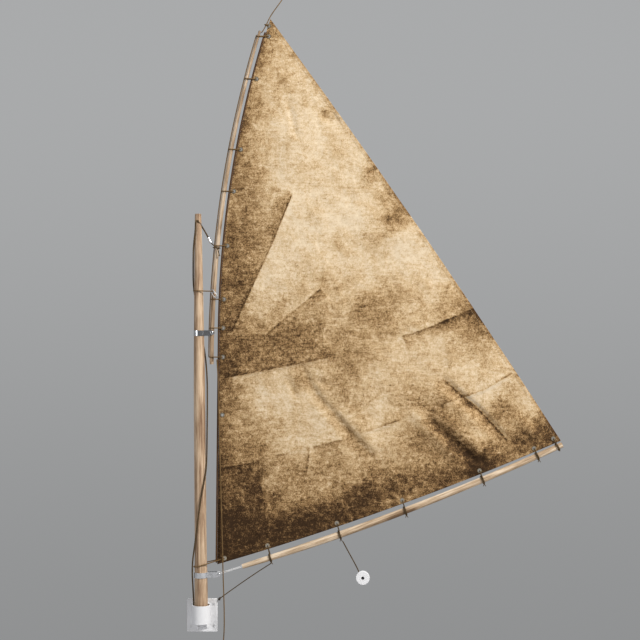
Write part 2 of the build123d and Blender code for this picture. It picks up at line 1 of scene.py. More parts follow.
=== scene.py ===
"""Looks of a small gunter sail rig on its wall socket: aged canvas, wood, laid cord, steel and white plastic.

Metres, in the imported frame: the wall is Y = 0, +X runs out along the boom, +Z is up.
"""

import bpy
import numpy as np
from math import acos, atan2, cos, hypot, pi, radians, sin, sqrt
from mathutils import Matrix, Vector, noise


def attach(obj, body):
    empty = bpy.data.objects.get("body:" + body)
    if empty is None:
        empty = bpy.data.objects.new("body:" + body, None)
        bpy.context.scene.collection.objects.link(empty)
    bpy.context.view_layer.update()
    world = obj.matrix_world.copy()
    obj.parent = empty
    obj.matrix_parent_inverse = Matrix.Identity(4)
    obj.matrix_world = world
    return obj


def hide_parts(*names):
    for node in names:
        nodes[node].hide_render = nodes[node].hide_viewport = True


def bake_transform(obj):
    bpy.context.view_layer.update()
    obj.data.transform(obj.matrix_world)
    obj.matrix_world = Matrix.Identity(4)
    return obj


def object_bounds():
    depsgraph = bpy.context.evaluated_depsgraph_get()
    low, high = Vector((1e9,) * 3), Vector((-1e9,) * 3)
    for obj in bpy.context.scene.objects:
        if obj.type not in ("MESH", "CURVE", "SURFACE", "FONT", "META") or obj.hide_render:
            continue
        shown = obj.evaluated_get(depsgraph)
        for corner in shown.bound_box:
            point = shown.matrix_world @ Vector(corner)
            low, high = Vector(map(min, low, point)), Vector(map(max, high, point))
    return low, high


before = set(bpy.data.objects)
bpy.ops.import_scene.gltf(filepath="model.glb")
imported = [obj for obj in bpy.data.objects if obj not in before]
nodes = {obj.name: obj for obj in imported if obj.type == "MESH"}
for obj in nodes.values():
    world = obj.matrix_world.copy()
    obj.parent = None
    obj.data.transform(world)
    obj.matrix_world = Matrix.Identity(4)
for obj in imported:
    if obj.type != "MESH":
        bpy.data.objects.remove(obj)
cad_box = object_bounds()
ACROSS = Vector((0, 1, 0))


# ---------------------------------------------------------------- camera and lights
CAMERA, LENS, SENSOR = Vector((0.3265, -3.611, 0.819)), 73.1, 36

camera_data = bpy.data.cameras.new("camera")
camera_data.sensor_width = SENSOR
camera_data.lens = LENS
camera_data.clip_end = 60
camera = bpy.data.objects.new("camera", camera_data)
camera.location = CAMERA
camera.rotation_euler = (pi / 2, 0, 0)
bpy.context.collection.objects.link(camera)
bpy.context.scene.camera = camera


def studio_light(name, place, aim, size, power, colour=(1, 1, 1)):
    light = bpy.data.lights.new(name, "AREA")
    light.shape = "RECTANGLE"
    light.size, light.size_y = size
    light.energy = power
    light.color = colour
    lamp = bpy.data.objects.new(name, light)
    lamp.location = place
    lamp.rotation_euler = (Vector(aim) - Vector(place)).to_track_quat("-Z", "Y").to_euler()
    bpy.context.collection.objects.link(lamp)


studio_light("key", (3.3, -2.9, 3.6), (0.35, 0, 0.85), (1.2, 1.2), 285, (1.0, 0.985, 0.955))
studio_light("fill", (-3.6, -3.6, 1.6), (0.3, 0, 0.8), (2.6, 2.6), 58, (0.96, 0.975, 1.0))
studio_light("back", (0.4, 4.2, 3.6), (0.3, 0, 0.8), (3.2, 2.2), 60)
studio_light("top", (0.3, -0.6, 4.6), (0.3, 0, 0.8), (2.0, 2.0), 34)
bpy.context.scene.view_settings.view_transform = "Standard"


# ---------------------------------------------------------------- shader expressions
class Field:
    """A socket in a material, with Python's operators for maths on it."""

    def __init__(self, mat, socket):
        self.mat, self.socket = mat, socket

    def _math(self, operation, *values):
        return self.mat.node("ShaderNodeMath", {"operation": operation}, {i: v for i, v in enumerate(values)})

    def __add__(self, other): return self._math("ADD", self, other)
    def __radd__(self, other): return self._math("ADD", other, self)
    def __sub__(self, other): return self._math("SUBTRACT", self, other)
    def __rsub__(self, other): return self._math("SUBTRACT", other, self)
    def __mul__(self, other): return self._math("MULTIPLY", self, other)
    def __rmul__(self, other): return self._math("MULTIPLY", other, self)
    def __truediv__(self, other): return self._math("DIVIDE", self, other)
    def __rtruediv__(self, other): return self._math("DIVIDE", other, self)
    def __pow__(self, other): return self._math("POWER", self, other)

    def size(self): return self._math("ABSOLUTE", self)
    def part(self): return self._math("FRACT", self)
    def wave(self): return self._math("SINE", self)

    def ramp(self, low, high):
        """A smooth step: 0 up to low, 1 from high on."""
        return self.mat.node("ShaderNodeMapRange", {"interpolation_type": "SMOOTHSTEP"},
                             {"Value": self, "From Min": low, "From Max": high})


class Material:
    """A Principled material whose varying values are built as expressions."""

    def __init__(self, name, **settings):
        self.material = bpy.data.materials.new(name)
        self.material.use_nodes = True
        self.tree = self.material.node_tree
        self.shader = self.tree.nodes["Principled BSDF"]
        for key, value in settings.items():
            self.set(key.replace("_", " "), value)

    def node(self, kind, settings=None, inputs=None, output=0):
        made = self.tree.nodes.new(kind)
        for key, value in (settings or {}).items():
            if key == "stops":
                self._stops(made.color_ramp, value)
            else:
                setattr(made, key, value)
        for key, value in (inputs or {}).items():
            self._feed(made.inputs[key], value)
        return Field(self, made.outputs[output])

    def _stops(self, ramp, stops):
        while len(ramp.elements) > 2:
            ramp.elements.remove(ramp.elements[-1])
        for index, (place, colour) in enumerate(stops):
            element = ramp.elements[index] if index < 2 else ramp.elements.new(place)
            element.position = place
            element.color = (*colour, 1)

    def _feed(self, socket, value):
        if isinstance(value, Field):
            self.tree.links.new(value.socket, socket)
        elif isinstance(value, (tuple, list)) and len(value) == 3 and len(socket.default_value) == 4:
            socket.default_value = (*value, 1)
        else:
            socket.default_value = value

    def set(self, name, value):
        names = {input.name.lower(): input for input in self.shader.inputs}
        self._feed(names[name.lower()], value)

    # varying values
    def place(self, scale=(1, 1, 1), turn=(0, 0, 0)):
        where = self.node("ShaderNodeTexCoord", output="Object")
        return self.node("ShaderNodeMapping", inputs={"Vector": where, "Scale": scale, "Rotation": turn})

    def axes(self, where):
        split = self.node("ShaderNodeSeparateXYZ", inputs={"Vector": where})
        return tuple(Field(self, split.socket.node.outputs[i]) for i in range(3))

    def vector(self, x, y, z):
        return self.node("ShaderNodeCombineXYZ", inputs={0: x, 1: y, 2: z})

    def angle(self, rise, run):
        return self.node("ShaderNodeMath", {"operation": "ARCTAN2"}, {0: rise, 1: run})

    def noise(self, where, scale, detail=4, rough=0.55, distort=0.0):
        inputs = {"Vector": where, "Scale": scale, "Detail": detail, "Roughness": rough,
                  "Distortion": distort}
        return self.node("ShaderNodeTexNoise", inputs=inputs, output="Fac")

    def cells(self, where, scale):
        return self.node("ShaderNodeTexVoronoi", inputs={"Vector": where, "Scale": scale}, output="Distance")

    def stored(self, name):
        return self.node("ShaderNodeAttribute", {"attribute_name": name}, output="Fac")

    def colours(self, value, stops):
        return self.node("ShaderNodeValToRGB", {"stops": stops}, {"Fac": value}, output="Color")

    def mix(self, share, a, b):
        mixer = self.tree.nodes.new("ShaderNodeMix")
        mixer.data_type = "RGBA"
        self._feed(mixer.inputs[0], share)
        self._feed(mixer.inputs[6], a)
        self._feed(mixer.inputs[7], b)
        return Field(self, mixer.outputs[2])

    def bump(self, height, strength, distance):
        inputs = {"Height": height, "Strength": strength, "Distance": distance}
        self.set("Normal", self.node("ShaderNodeBump", inputs=inputs))


def linear(red, green, blue):
    """A colour given as it looks on a screen, 0 to 255."""
    return tuple(((v / 255 + 0.055) / 1.055) ** 2.4 for v in (red, green, blue))


# ---------------------------------------------------------------- lines of the rig
RIG_Y = -0.036
YARD_HEEL, YARD_TIP, YARD_BOW = (0.0285, 0.6975), (0.161, 1.614), 0.0338
YARD_STATIONS = [(0, 0.0056), (0.1, 0.006), (0.45, 0.0059), (0.7, 0.0052), (0.9, 0.0042), (1, 0.0034)]
BOOM_INNER, BOOM_OUTER, BOOM_BOW = (0.113, 0.141), (0.993, 0.476), -0.016
BOOM_STATIONS = [(0, 0.0064), (0.06, 0.0076), (0.16, 0.0088), (0.45, 0.0092), (0.75, 0.0086), (1, 0.0074)]
MAST_HEEL_Z, MAST_HEAD_Z, MAST_LEAN = -0.0107, 1.111, -0.009
MAST_STATIONS = [(MAST_HEEL_Z, 0.0183), (0.06, 0.0182), (0.158, 0.0169), (0.3, 0.0162), (0.5, 0.016),
                 (0.65, 0.0154), (0.79, 0.0138), (0.9, 0.0123), (1.038, 0.0103), (MAST_HEAD_Z, 0.0087)]
TACK, CLEW, HEAD = (0.044, 0.147), (0.989, 0.487), (0.19, 1.647)
LUFF_KNEE, LUFF_R = (0.05, 0.76), 2.88
LEECH_ROUND, FOOT_ROUND = 0.010, 0.016
YARD_EYELETS = [1.599, 1.482, 1.288, 1.173, 1.023, 0.876, 0.797, 0.717]
FREE_EYELET, EYELET_INSET = 0.558, 0.010
TACK_EYELET, CLEW_EYELET, HEAD_EYELET = (0.064, 0.164), (0.968, 0.493), (0.186, 1.628)
BOOM_LASHINGS = [0.191, 0.382, 0.562, 0.775, 0.925]
CORD_R, HALYARD_R, LINE_R, SHEET_R, LUFF_ROPE_R = 0.0014, 0.002, 0.0013, 0.0015, 0.0024
KNOT_CORD_R, KNOT_TURN_R = 0.0012, 0.0017     # the small turns that stand for a knot
PEG_STEM_R, HITCH_Y = 0.007, -0.011           # a peg's stem and where a line is hitched on it
CLEAR = 0.00035


def at(x, z, y=RIG_Y):
    return Vector((x, y, z))


def between(table, value):
    for (a, low), (b, high) in zip(table, table[1:]):
        if value <= b:
            return low + (high - low) * (value - a) / (b - a)
    return table[-1][1]


class Bow:
    """A circular arc in the rig's plane, from its chord and its bow to the chord's left."""

    def __init__(self, start, end, bow):
        start, end = at(*start), at(*end)
        self.along = (end - start).normalized()
        self.left = Vector((-self.along.z, 0, self.along.x))
        self.radius = (end - start).length**2 / (8 * abs(bow)) + abs(bow) / 2
        self.side = 1 if bow > 0 else -1
        self.centre = (start + end) / 2 + self.left * (bow - self.side * self.radius)
        self.half = acos((self.radius - abs(bow)) / self.radius)

    def point(self, t, offset=0.0):
        turn = self.half * (2 * t - 1)
        out = self.left * (self.side * cos(turn)) + self.along * sin(turn)
        return self.centre + out * (self.radius + self.side * offset)

    def tangent(self, t):
        turn = self.half * (2 * t - 1)
        return (self.along * cos(turn) - self.left * (self.side * sin(turn))).normalized()

    def share_at(self, value, axis):
        low, high = 0.0, 1.0
        for _ in range(40):
            middle = (low + high) / 2
            low, high = (middle, high) if self.point(middle)[axis] < value else (low, middle)
        return (low + high) / 2


yard_line = Bow(YARD_HEEL, YARD_TIP, YARD_BOW)
boom_line = Bow(BOOM_INNER, BOOM_OUTER, BOOM_BOW)
foot_line = Bow(TACK, CLEW, -FOOT_ROUND)
leech_line = Bow(HEAD, CLEW, LEECH_ROUND)


def mast_x(z):
    return MAST_LEAN * (z - MAST_HEEL_Z) / (MAST_HEAD_Z - MAST_HEEL_Z)


def mast_radius(z):
    return between(MAST_STATIONS, z)


def mast_point(z):
    return at(mast_x(z), z)


def luff_x(z):
    if z <= LUFF_KNEE[1]:
        return TACK[0] + (LUFF_KNEE[0] - TACK[0]) * (z - TACK[1]) / (LUFF_KNEE[1] - TACK[1])
    return LUFF_KNEE[0] + LUFF_R - sqrt(LUFF_R**2 - (z - LUFF_KNEE[1]) ** 2)


def luff_eyelet(z):
    slope = (luff_x(z + 0.001) - luff_x(z - 0.001)) / 0.002
    return at(luff_x(z) + EYELET_INSET / cos(atan2(slope, 1)), z)


def foot_eyelet(x):
    return foot_line.point(foot_line.share_at(x - 0.006, 0), EYELET_INSET)


EYELETS = ([luff_eyelet(z) for z in YARD_EYELETS + [FREE_EYELET]] + [foot_eyelet(x) for x in BOOM_LASHINGS]
           + [at(*p) for p in (TACK_EYELET, CLEW_EYELET, HEAD_EYELET)])


# ---------------------------------------------------------------- meshes
def new_object(name, points, faces, material, smooth=True):
    mesh = bpy.data.meshes.new(name)
    mesh.from_pydata([tuple(p) for p in points], [], faces)
    mesh.update()
    if smooth:
        mesh.shade_smooth()
    made = bpy.data.objects.new(name, mesh)
    made.data.materials.append(material.material)
    bpy.context.collection.objects.link(made)
    return made


def smooth_route(points, resolution=24):
    """A cord's line: an even NURBS spline with the route's points as its control points."""
    curve = bpy.data.curves.new("route", "CURVE")
    curve.dimensions = "3D"
    spline = curve.splines.new("NURBS")
    spline.points.add(len(points) - 1)
    for control, point in zip(spline.points, points):
        control.co = (*point, 1)
    spline.order_u = 3
    spline.use_endpoint_u = True
    spline.resolution_u = resolution
    guide = bpy.data.objects.new("route", curve)
    mesh = bpy.data.meshes.new_from_object(guide)
    line = [v.co.copy() for v in mesh.vertices]
    bpy.data.meshes.remove(mesh)
    bpy.data.objects.remove(guide)
    bpy.data.curves.remove(curve)
    return line


def even(line, step, closed=False):
    """The same line with its points a step apart."""
    if closed:
        line = line + [line[0]]
    ends = np.array([tuple(p) for p in line])
    run = np.concatenate([[0], np.cumsum(np.linalg.norm(np.diff(ends, axis=0), axis=1))])
    count = max(int(round(run[-1] / step)), 4)
    stations = np.linspace(0, run[-1], count + 1)
    if closed:
        stations = stations[:-1]
    return [Vector(tuple(np.interp(s, run, ends[:, k]) for k in range(3))) for s in stations]


RINGS_PER_TURN, STRANDS, SIDES = 9, 3, 12


def rope(name, line, radius, material, closed=False, lay=7.0):
    """A laid rope: a lobed section that turns along the line. lay is one turn's length in radii."""
    line = even(line, radius * lay / RINGS_PER_TURN, closed)
    count = len(line)
    ways = []
    for i in range(count):
        ahead = line[(i + 1) % count] if closed or i < count - 1 else line[i]
        behind = line[i - 1] if closed or i > 0 else line[i]
        ways.append((ahead - behind).normalized())
    side = ways[0].cross(ACROSS if abs(ways[0].y) < 0.9 else Vector((1, 0, 0))).normalized()
    frames = []
    for way in ways:
        side = (side - way * side.dot(way)).normalized()
        frames.append(side.copy())
    turns = count / RINGS_PER_TURN
    gap = 0.0
    if closed:
        last = (frames[-1] - ways[0] * frames[-1].dot(ways[0])).normalized()
        gap = atan2(last.cross(frames[0]).dot(ways[0]), last.dot(frames[0]))
        turns = round(turns * STRANDS) / STRANDS
    points, faces = [], []
    for i, (centre, way, side) in enumerate(zip(line, ways, frames)):
        up = way.cross(side)
        tip = 1.0 if closed else min(1.0, 0.55 + 0.45 * min(i, count - 1 - i) / 2)
        for k in range(SIDES):
            angle = 2 * pi * k / SIDES
            lobe = abs(cos(STRANDS * (angle - 2 * pi * turns * i / count) / 2))
            reach = radius * (0.87 + 0.22 * lobe**0.7) * tip
            shown = angle + gap * i / count
            points.append(centre + side * (reach * cos(shown)) + up * (reach * sin(shown)))
    for i in range(count if closed else count - 1):
        j = (i + 1) % count
        for k in range(SIDES):
            m = (k + 1) % SIDES
            faces.append((i * SIDES + k, i * SIDES + m, j * SIDES + m, j * SIDES + k))
    if not closed:
        faces.append(tuple(range(SIDES - 1, -1, -1)))
        faces.append(tuple((count - 1) * SIDES + k for k in range(SIDES)))
    return new_object(name, points, faces, material)


def joined(name, pieces):
    """One object from several."""
    points, faces = [], []
    for piece in pieces:
        start = len(points)
        points += [v.co.copy() for v in piece.data.vertices]
        faces += [tuple(start + v for v in polygon.vertices) for polygon in piece.data.polygons]
    material = pieces[0].data.materials[0]
    for piece in pieces:
        bpy.data.meshes.remove(piece.data)
    mesh = bpy.data.meshes.new(name)
    mesh.from_pydata([tuple(p) for p in points], [], faces)
    mesh.shade_smooth()
    mesh.materials.append(material)
    made = bpy.data.objects.new(name, mesh)
    bpy.context.collection.objects.link(made)
    return made


def arc(centre, x_dir, y_dir, radius, start, end, count):
    angles = np.linspace(start, end, count)
    return [centre + x_dir * (radius * cos(a)) + y_dir * (radius * sin(a)) for a in angles]


def circle(centre, axis, radius, count=36):
    x_dir = axis.cross(Vector((0.3, 0.2, 1))).normalized()
    return arc(centre, x_dir, axis.cross(x_dir).normalized(), radius, 0, 2 * pi * (count - 1) / count, count)


def loop_line(centre, eye, spar_radius, side=ACROSS, eye_bend=0.003):
    """A cord's closed line round a spar and through an eyelet."""
    reach = (eye - centre).normalized()
    side = (side - reach * side.dot(reach)).normalized()
    big = spar_radius + CORD_R + CLEAR
    gap = (eye - centre).length - eye_bend
    lean = acos((big - eye_bend) / gap)
    nose = arc(centre + reach * gap, reach, side, eye_bend, lean, -lean, 9)
    back = arc(centre, reach, side, big, -lean, lean - 2 * pi, 30)
    return nose + back


def knot(centre, axis, turn_radius, material):
    """One small closed turn that stands for a knot."""
    return rope("knot", circle(centre, axis, turn_radius, 16), KNOT_CORD_R, material, closed=True)


# ---------------------------------------------------------------- the sail's relief, its age and its painted shade
# A crease runs along its points. Its height is towards the viewer; it falls away over near on one side and
# over far on the other.
CREASES = [
    # points, height, near width, far width
    ([(0.254, 1.171), (0.192, 1.02), (0.15, 0.929), (0.08, 0.775)], 0.002, 0.004, 0.06),
    ([(0.175, 0.776), (0.265, 0.852), (0.329, 0.907)], 0.0022, 0.05, 0.005),
    ([(0.062, 0.659), (0.178, 0.681), (0.276, 0.7), (0.358, 0.717)], 0.0024, 0.004, 0.045),
    ([(0.27, 0.7), (0.318, 0.611), (0.36, 0.566), (0.397, 0.525), (0.472, 0.44)], -0.004, 0.018, 0.01),
    ([(0.375, 0.575), (0.425, 0.52), (0.49, 0.455)], 0.0045, 0.018, 0.03),
    ([(0.065, 0.412), (0.156, 0.431)], 0.0016, 0.005, 0.04),
    ([(0.157, 0.436), (0.167, 0.34), (0.215, 0.285)], -0.0022, 0.006, 0.03),
    ([(0.205, 0.445), (0.248, 0.457), (0.307, 0.471), (0.389, 0.491)], 0.0012, 0.005, 0.03),
    ([(0.299, 0.471), (0.291, 0.398)], 0.0014, 0.006, 0.02),
    ([(0.549, 0.775), (0.6, 0.789), (0.727, 0.842), (0.79, 0.872)], 0.0026, 0.004, 0.035),
    ([(0.432, 0.505), (0.494, 0.525), (0.549, 0.544)], 0.0018, 0.005, 0.035),
    ([(0.612, 0.556), (0.662, 0.511), (0.718, 0.46), (0.778, 0.404)], -0.0064, 0.018, 0.011),
    ([(0.577, 0.571), (0.66, 0.49), (0.745, 0.408)], 0.006, 0.022, 0.018),
    ([(0.64, 0.566), (0.7, 0.52), (0.76, 0.47), (0.812, 0.43)], 0.007, 0.02, 0.024),
    ([(0.76, 0.45), (0.786, 0.412)], -0.005, 0.012, 0.012),
    ([(0.662, 0.662), (0.718, 0.611), (0.761, 0.577), (0.804, 0.531), (0.846, 0.485)], -0.006, 0.03, 0.008),
    ([(0.63, 0.64), (0.7, 0.585), (0.76, 0.535), (0.812, 0.48)], 0.0062, 0.03, 0.02),
    ([(0.662, 0.586), (0.718, 0.606), (0.775, 0.625), (0.858, 0.673)], 0.0026, 0.005, 0.045),
    ([(0.858, 0.56), (0.905, 0.515), (0.945, 0.492)], 0.0045, 0.018, 0.018),
    ([(0.234, 0.662), (0.265, 0.603)], -0.0016, 0.008, 0.008),
    ([(0.304, 0.658), (0.36, 0.635)], -0.0016, 0.008, 0.01),
    ([(0.318, 0.857), (0.354, 0.877)], 0.0012, 0.005, 0.014),
    ([(0.236, 1.424), (0.263, 1.314)], -0.0016, 0.008, 0.01),
    ([(0.326, 1.383), (0.362, 1.366)], -0.0014, 0.007, 0.008),
    ([(0.366, 1.396), (0.392, 1.362)], 0.0018, 0.006, 0.014),
    ([(0.4, 1.12), (0.52, 1.06), (0.64, 1.03)], 0.003, 0.04, 0.05),
    ([(0.33, 1.0), (0.45, 1.09), (0.54, 1.19)], -0.0032, 0.05, 0.06),
    ([(0.12, 1.05), (0.25, 1.2), (0.3, 1.4)], 0.003, 0.05, 0.06),
]
# A stain is an uneven blot: middle, half-lengths along and across, lean in degrees, darkness.
STAINS = [
    (0.456, 0.505, 0.045, 0.035, 0, 0.2), (0.72, 0.5, 0.045, 0.03, -40, 0.22),
    (0.19, 0.68, 0.045, 0.03, 10, 0.16), (0.545, 0.68, 0.05, 0.035, 0, 0.24),
    (0.1, 0.2, 0.1, 0.075, 60, 0.66), (0.09, 0.33, 0.055, 0.06, 0, 0.36), (0.56, 0.41, 0.12, 0.03, 20, 0.3),
    (0.33, 0.64, 0.1, 0.06, 20, 0.16), (0.4, 0.7, 0.11, 0.06, 15, 0.26), (0.2, 0.52, 0.08, 0.05, 15, 0.14),
    (0.098, 0.86, 0.21, 0.036, 84, 0.62), (0.06, 0.83, 0.11, 0.024, 88, 0.55),
    (0.094, 1.06, 0.085, 0.034, 76, 0.48), (0.165, 1.055, 0.05, 0.032, 40, 0.36),
    (0.088, 1.265, 0.105, 0.026, 78, 0.48), (0.118, 1.36, 0.06, 0.022, 74, 0.34),
    (0.14, 1.2, 0.075, 0.035, 80, 0.34), (0.138, 1.545, 0.075, 0.022, 70, 0.42),
    (0.18, 1.61, 0.05, 0.024, 65, 0.34), (0.18, 1.54, 0.05, 0.03, 70, 0.24),
    (0.175, 0.955, 0.04, 0.026, 60, 0.25), (0.175, 0.745, 0.11, 0.042, 8, 0.34),
    (0.255, 0.77, 0.08, 0.046, 22, 0.3), (0.335, 0.76, 0.075, 0.03, 12, 0.24),
    (0.1, 0.72, 0.07, 0.03, 12, 0.38), (0.205, 0.83, 0.05, 0.026, 35, 0.14),
    (0.268, 0.866, 0.06, 0.026, 30, 0.12), (0.278, 0.653, 0.03, 0.022, 60, 0.42),
    (0.395, 0.66, 0.04, 0.026, 60, 0.46), (0.38, 0.72, 0.05, 0.02, 10, 0.3),
    (0.415, 0.818, 0.05, 0.03, 25, 0.26), (0.48, 0.853, 0.06, 0.028, 20, 0.34),
    (0.5, 0.81, 0.055, 0.028, 8, 0.34), (0.535, 0.9, 0.045, 0.026, 18, 0.4),
    (0.372, 0.905, 0.045, 0.022, 25, 0.22), (0.455, 0.87, 0.035, 0.02, 30, 0.22),
    (0.545, 1.105, 0.04, 0.024, 50, 0.48), (0.505, 1.085, 0.03, 0.02, 40, 0.36),
    (0.52, 1.18, 0.045, 0.018, 55, 0.42), (0.478, 1.23, 0.055, 0.016, 54, 0.36),
    (0.345, 1.385, 0.024, 0.014, 20, 0.42), (0.6, 1.045, 0.04, 0.012, 50, 0.22),
    (0.68, 0.835, 0.08, 0.03, 22, 0.5), (0.75, 0.812, 0.05, 0.036, 40, 0.55),
    (0.7, 0.925, 0.06, 0.022, 55, 0.34), (0.79, 0.745, 0.05, 0.022, 56, 0.24),
    (0.86, 0.64, 0.06, 0.018, 55, 0.28), (0.72, 0.74, 0.06, 0.028, 30, 0.18),
    (0.59, 0.6, 0.05, 0.03, 30, 0.24), (0.665, 0.56, 0.06, 0.034, -35, 0.5),
    (0.69, 0.51, 0.06, 0.036, -40, 0.44), (0.72, 0.455, 0.055, 0.028, -40, 0.55),
    (0.775, 0.428, 0.035, 0.026, 20, 0.85), (0.64, 0.47, 0.06, 0.034, 0, 0.3),
    (0.845, 0.56, 0.06, 0.03, -30, 0.36), (0.925, 0.51, 0.055, 0.024, 20, 0.52),
    (0.88, 0.48, 0.06, 0.024, 20, 0.34), (0.96, 0.52, 0.04, 0.022, -55, 0.46),
    (0.59, 0.5, 0.05, 0.03, 10, 0.36), (0.42, 0.59, 0.03, 0.04, -50, 0.26),
    (0.395, 0.53, 0.03, 0.05, -45, 0.3), (0.45, 0.47, 0.04, 0.03, 0, 0.22),
    (0.5, 0.43, 0.06, 0.03, 15, 0.24), (0.13, 0.44, 0.06, 0.06, 15, 0.34),
    (0.11, 0.36, 0.06, 0.05, 0, 0.66), (0.155, 0.385, 0.012, 0.045, 0, 0.62),
    (0.09, 0.3, 0.05, 0.08, 0, 0.86), (0.095, 0.505, 0.05, 0.045, 0, 0.24),
    (0.085, 0.22, 0.07, 0.06, 0, 0.9), (0.17, 0.215, 0.08, 0.035, 14, 0.72),
    (0.24, 0.25, 0.07, 0.04, 15, 0.55), (0.28, 0.265, 0.08, 0.03, 16, 0.48),
    (0.33, 0.32, 0.08, 0.04, 10, 0.42), (0.38, 0.3, 0.08, 0.03, 20, 0.55),
    (0.44, 0.33, 0.05, 0.028, 20, 0.62), (0.48, 0.355, 0.06, 0.026, 22, 0.52),
    (0.54, 0.36, 0.06, 0.026, 22, 0.55), (0.33, 0.4, 0.06, 0.036, 0, 0.34),
    (0.25, 0.41, 0.06, 0.036, 0, 0.26), (0.62, 0.38, 0.05, 0.026, 24, 0.5),
    (0.7, 0.4, 0.045, 0.024, 24, 0.42), (0.06, 0.56, 0.11, 0.022, 90, 0.44),
    (0.064, 0.42, 0.08, 0.02, 90, 0.44), (0.115, 0.59, 0.04, 0.03, 0, 0.22),
    (0.14, 0.56, 0.05, 0.028, 0, 0.2), (0.44, 0.955, 0.05, 0.016, 20, 0.14),
    (0.3, 1.25, 0.05, 0.018, 40, 0.12), (0.38, 1.16, 0.06, 0.02, 30, 0.1),
    (0.225, 1.29, 0.04, 0.026, 70, 0.2), (0.215, 1.44, 0.05, 0.024, 70, 0.14),
    (0.27, 1.18, 0.05, 0.016, 70, 0.12),
]
# A faded patch is a blot that stays pale.
FADES = [
    (0.325, 0.675, 0.034, 0.02, 12, 0.3), (0.27, 1.3, 0.11, 0.06, 60, 0.2),
    (0.4, 1.11, 0.09, 0.06, 20, 0.26), (0.59, 1.0, 0.075, 0.055, -50, 0.3),
    (0.18, 0.93, 0.06, 0.024, 60, 0.3), (0.21, 0.6, 0.09, 0.05, 10, 0.24),
    (0.35, 0.525, 0.04, 0.028, -40, 0.34), (0.67, 0.77, 0.06, 0.03, 15, 0.3),
    (0.8, 0.64, 0.07, 0.036, 20, 0.3), (0.47, 0.66, 0.06, 0.03, 0, 0.2), (0.56, 0.7, 0.08, 0.03, 10, 0.16),
    (0.33, 1.08, 0.06, 0.04, 30, 0.18), (0.23, 0.3, 0.026, 0.03, -40, 0.22),
    (0.45, 0.6, 0.06, 0.04, 0, 0.16), (0.74, 0.52, 0.06, 0.016, -38, 0.24),
    (0.76, 0.56, 0.08, 0.014, -42, 0.22),
]
# A seam parts two panels: its line, how far its dark side fades, its darkness. The dark side is on the left,
# with a thin painted shadow along the line and a painted highlight on the right.
SEAMS = [
    ([(0.08, 0.775), (0.116, 0.856), (0.15, 0.929), (0.192, 1.02), (0.254, 1.171)], 0.06, 0.4),
    ([(0.329, 0.907), (0.265, 0.852), (0.234, 0.828), (0.175, 0.776)], 0.05, 0.26),
    ([(0.062, 0.659), (0.178, 0.681), (0.276, 0.7), (0.352, 0.716)], 0.055, 0.48),
    ([(0.156, 0.431), (0.065, 0.412)], 0.05, 0.26), ([(0.167, 0.34), (0.157, 0.431)], 0.034, 0.42),
    ([(0.248, 0.457), (0.205, 0.445)], 0.03, 0.12), ([(0.291, 0.398), (0.299, 0.471)], 0.02, 0.2),
    ([(0.389, 0.491), (0.307, 0.471)], 0.03, 0.16),
    ([(0.79, 0.872), (0.727, 0.842), (0.6, 0.789), (0.549, 0.775)], 0.036, 0.5),
    ([(0.432, 0.505), (0.494, 0.525), (0.549, 0.544)], 0.024, 0.18),
    ([(0.662, 0.586), (0.718, 0.606), (0.775, 0.625), (0.858, 0.673)], 0.045, 0.26),
    ([(0.846, 0.485), (0.804, 0.531), (0.761, 0.577), (0.718, 0.611), (0.662, 0.662)], 0.04, 0.3),
]


def along_line(x, z, line):
    """Signed distance to a line of points, left positive, and the nearest place's share of its length."""
    best = np.full(x.shape, 1e9)
    signed = np.zeros(x.shape)
    share = np.zeros(x.shape)
    runs = [hypot(bx - ax, bz - az) for (ax, az), (bx, bz) in zip(line, line[1:])]
    before = 0.0
    for ((ax, az), (bx, bz)), run in zip(zip(line, line[1:]), runs):
        ux, uz = (bx - ax) / run, (bz - az) / run
        t = (x - ax) * ux + (z - az) * uz
        near = np.clip(t, 0, run)
        distance = np.hypot(x - ax - ux * near, z - az - uz * near)
        closer = distance < best
        best = np.where(closer, distance, best)
        signed = np.where(closer, np.sign(ux * (z - az) - uz * (x - ax)) * distance, signed)
        share = np.where(closer, (before + t) / sum(runs), share)
        before += run
    return signed, share


def soft_step(value, low, high):
    share = np.clip((value - low) / (high - low), 0, 1)
    return share * share * (3 - 2 * share)


def stain_field(x, z, stains, wander):
    """Uneven blots: 0 clean to 1 full, their outlines pushed about by wander."""
    total = np.zeros(x.shape)
    for mid_x, mid_z, long, wide, lean, depth in stains:
        c, s = cos(radians(lean)), sin(radians(lean))
        u = ((x - mid_x) * c + (z - mid_z) * s) / (long * 1.25)
        v = (-(x - mid_x) * s + (z - mid_z) * c) / (wide * 1.35)
        total = 1 - (1 - total) * (1 - depth * np.exp(-(u * u + v * v) * (1 + wander)))
    return total


def seam_field(x, z):
    total = np.zeros(x.shape)
    for line, fade, depth in SEAMS:
        away, share = along_line(x, z, line)
        ends = soft_step(share, 0.0, 0.03) * (1 - soft_step(share, 0.97, 1.0))
        side = soft_step(away, -0.0012, 0.0012)
        # A thin painted shadow runs just left of the seam's line, and a painted highlight fades out on its
        # right.
        painted_seam_shadow = 0.30 * np.exp(-((away - 0.001) / 0.0030) ** 2)
        wear_and_highlight = 0.16 * (1 - side) * np.exp(-np.abs(away) / 0.012)
        total = 1 - (1 - total) * (1 - ends * (depth * side * np.exp(-np.abs(away) / fade) + painted_seam_shadow))
        total = total - wear_and_highlight * ends
    return total


def even_noise(x, z, size, octaves, seed):
    """Fractal noise over the cloth, about -1 to 1."""
    return np.array([noise.fractal((a / size + seed, b / size, seed * 1.7), 0.9, 2.1, octaves)
                     for a, b in zip(x.ravel(), z.ravel())]).reshape(x.shape)


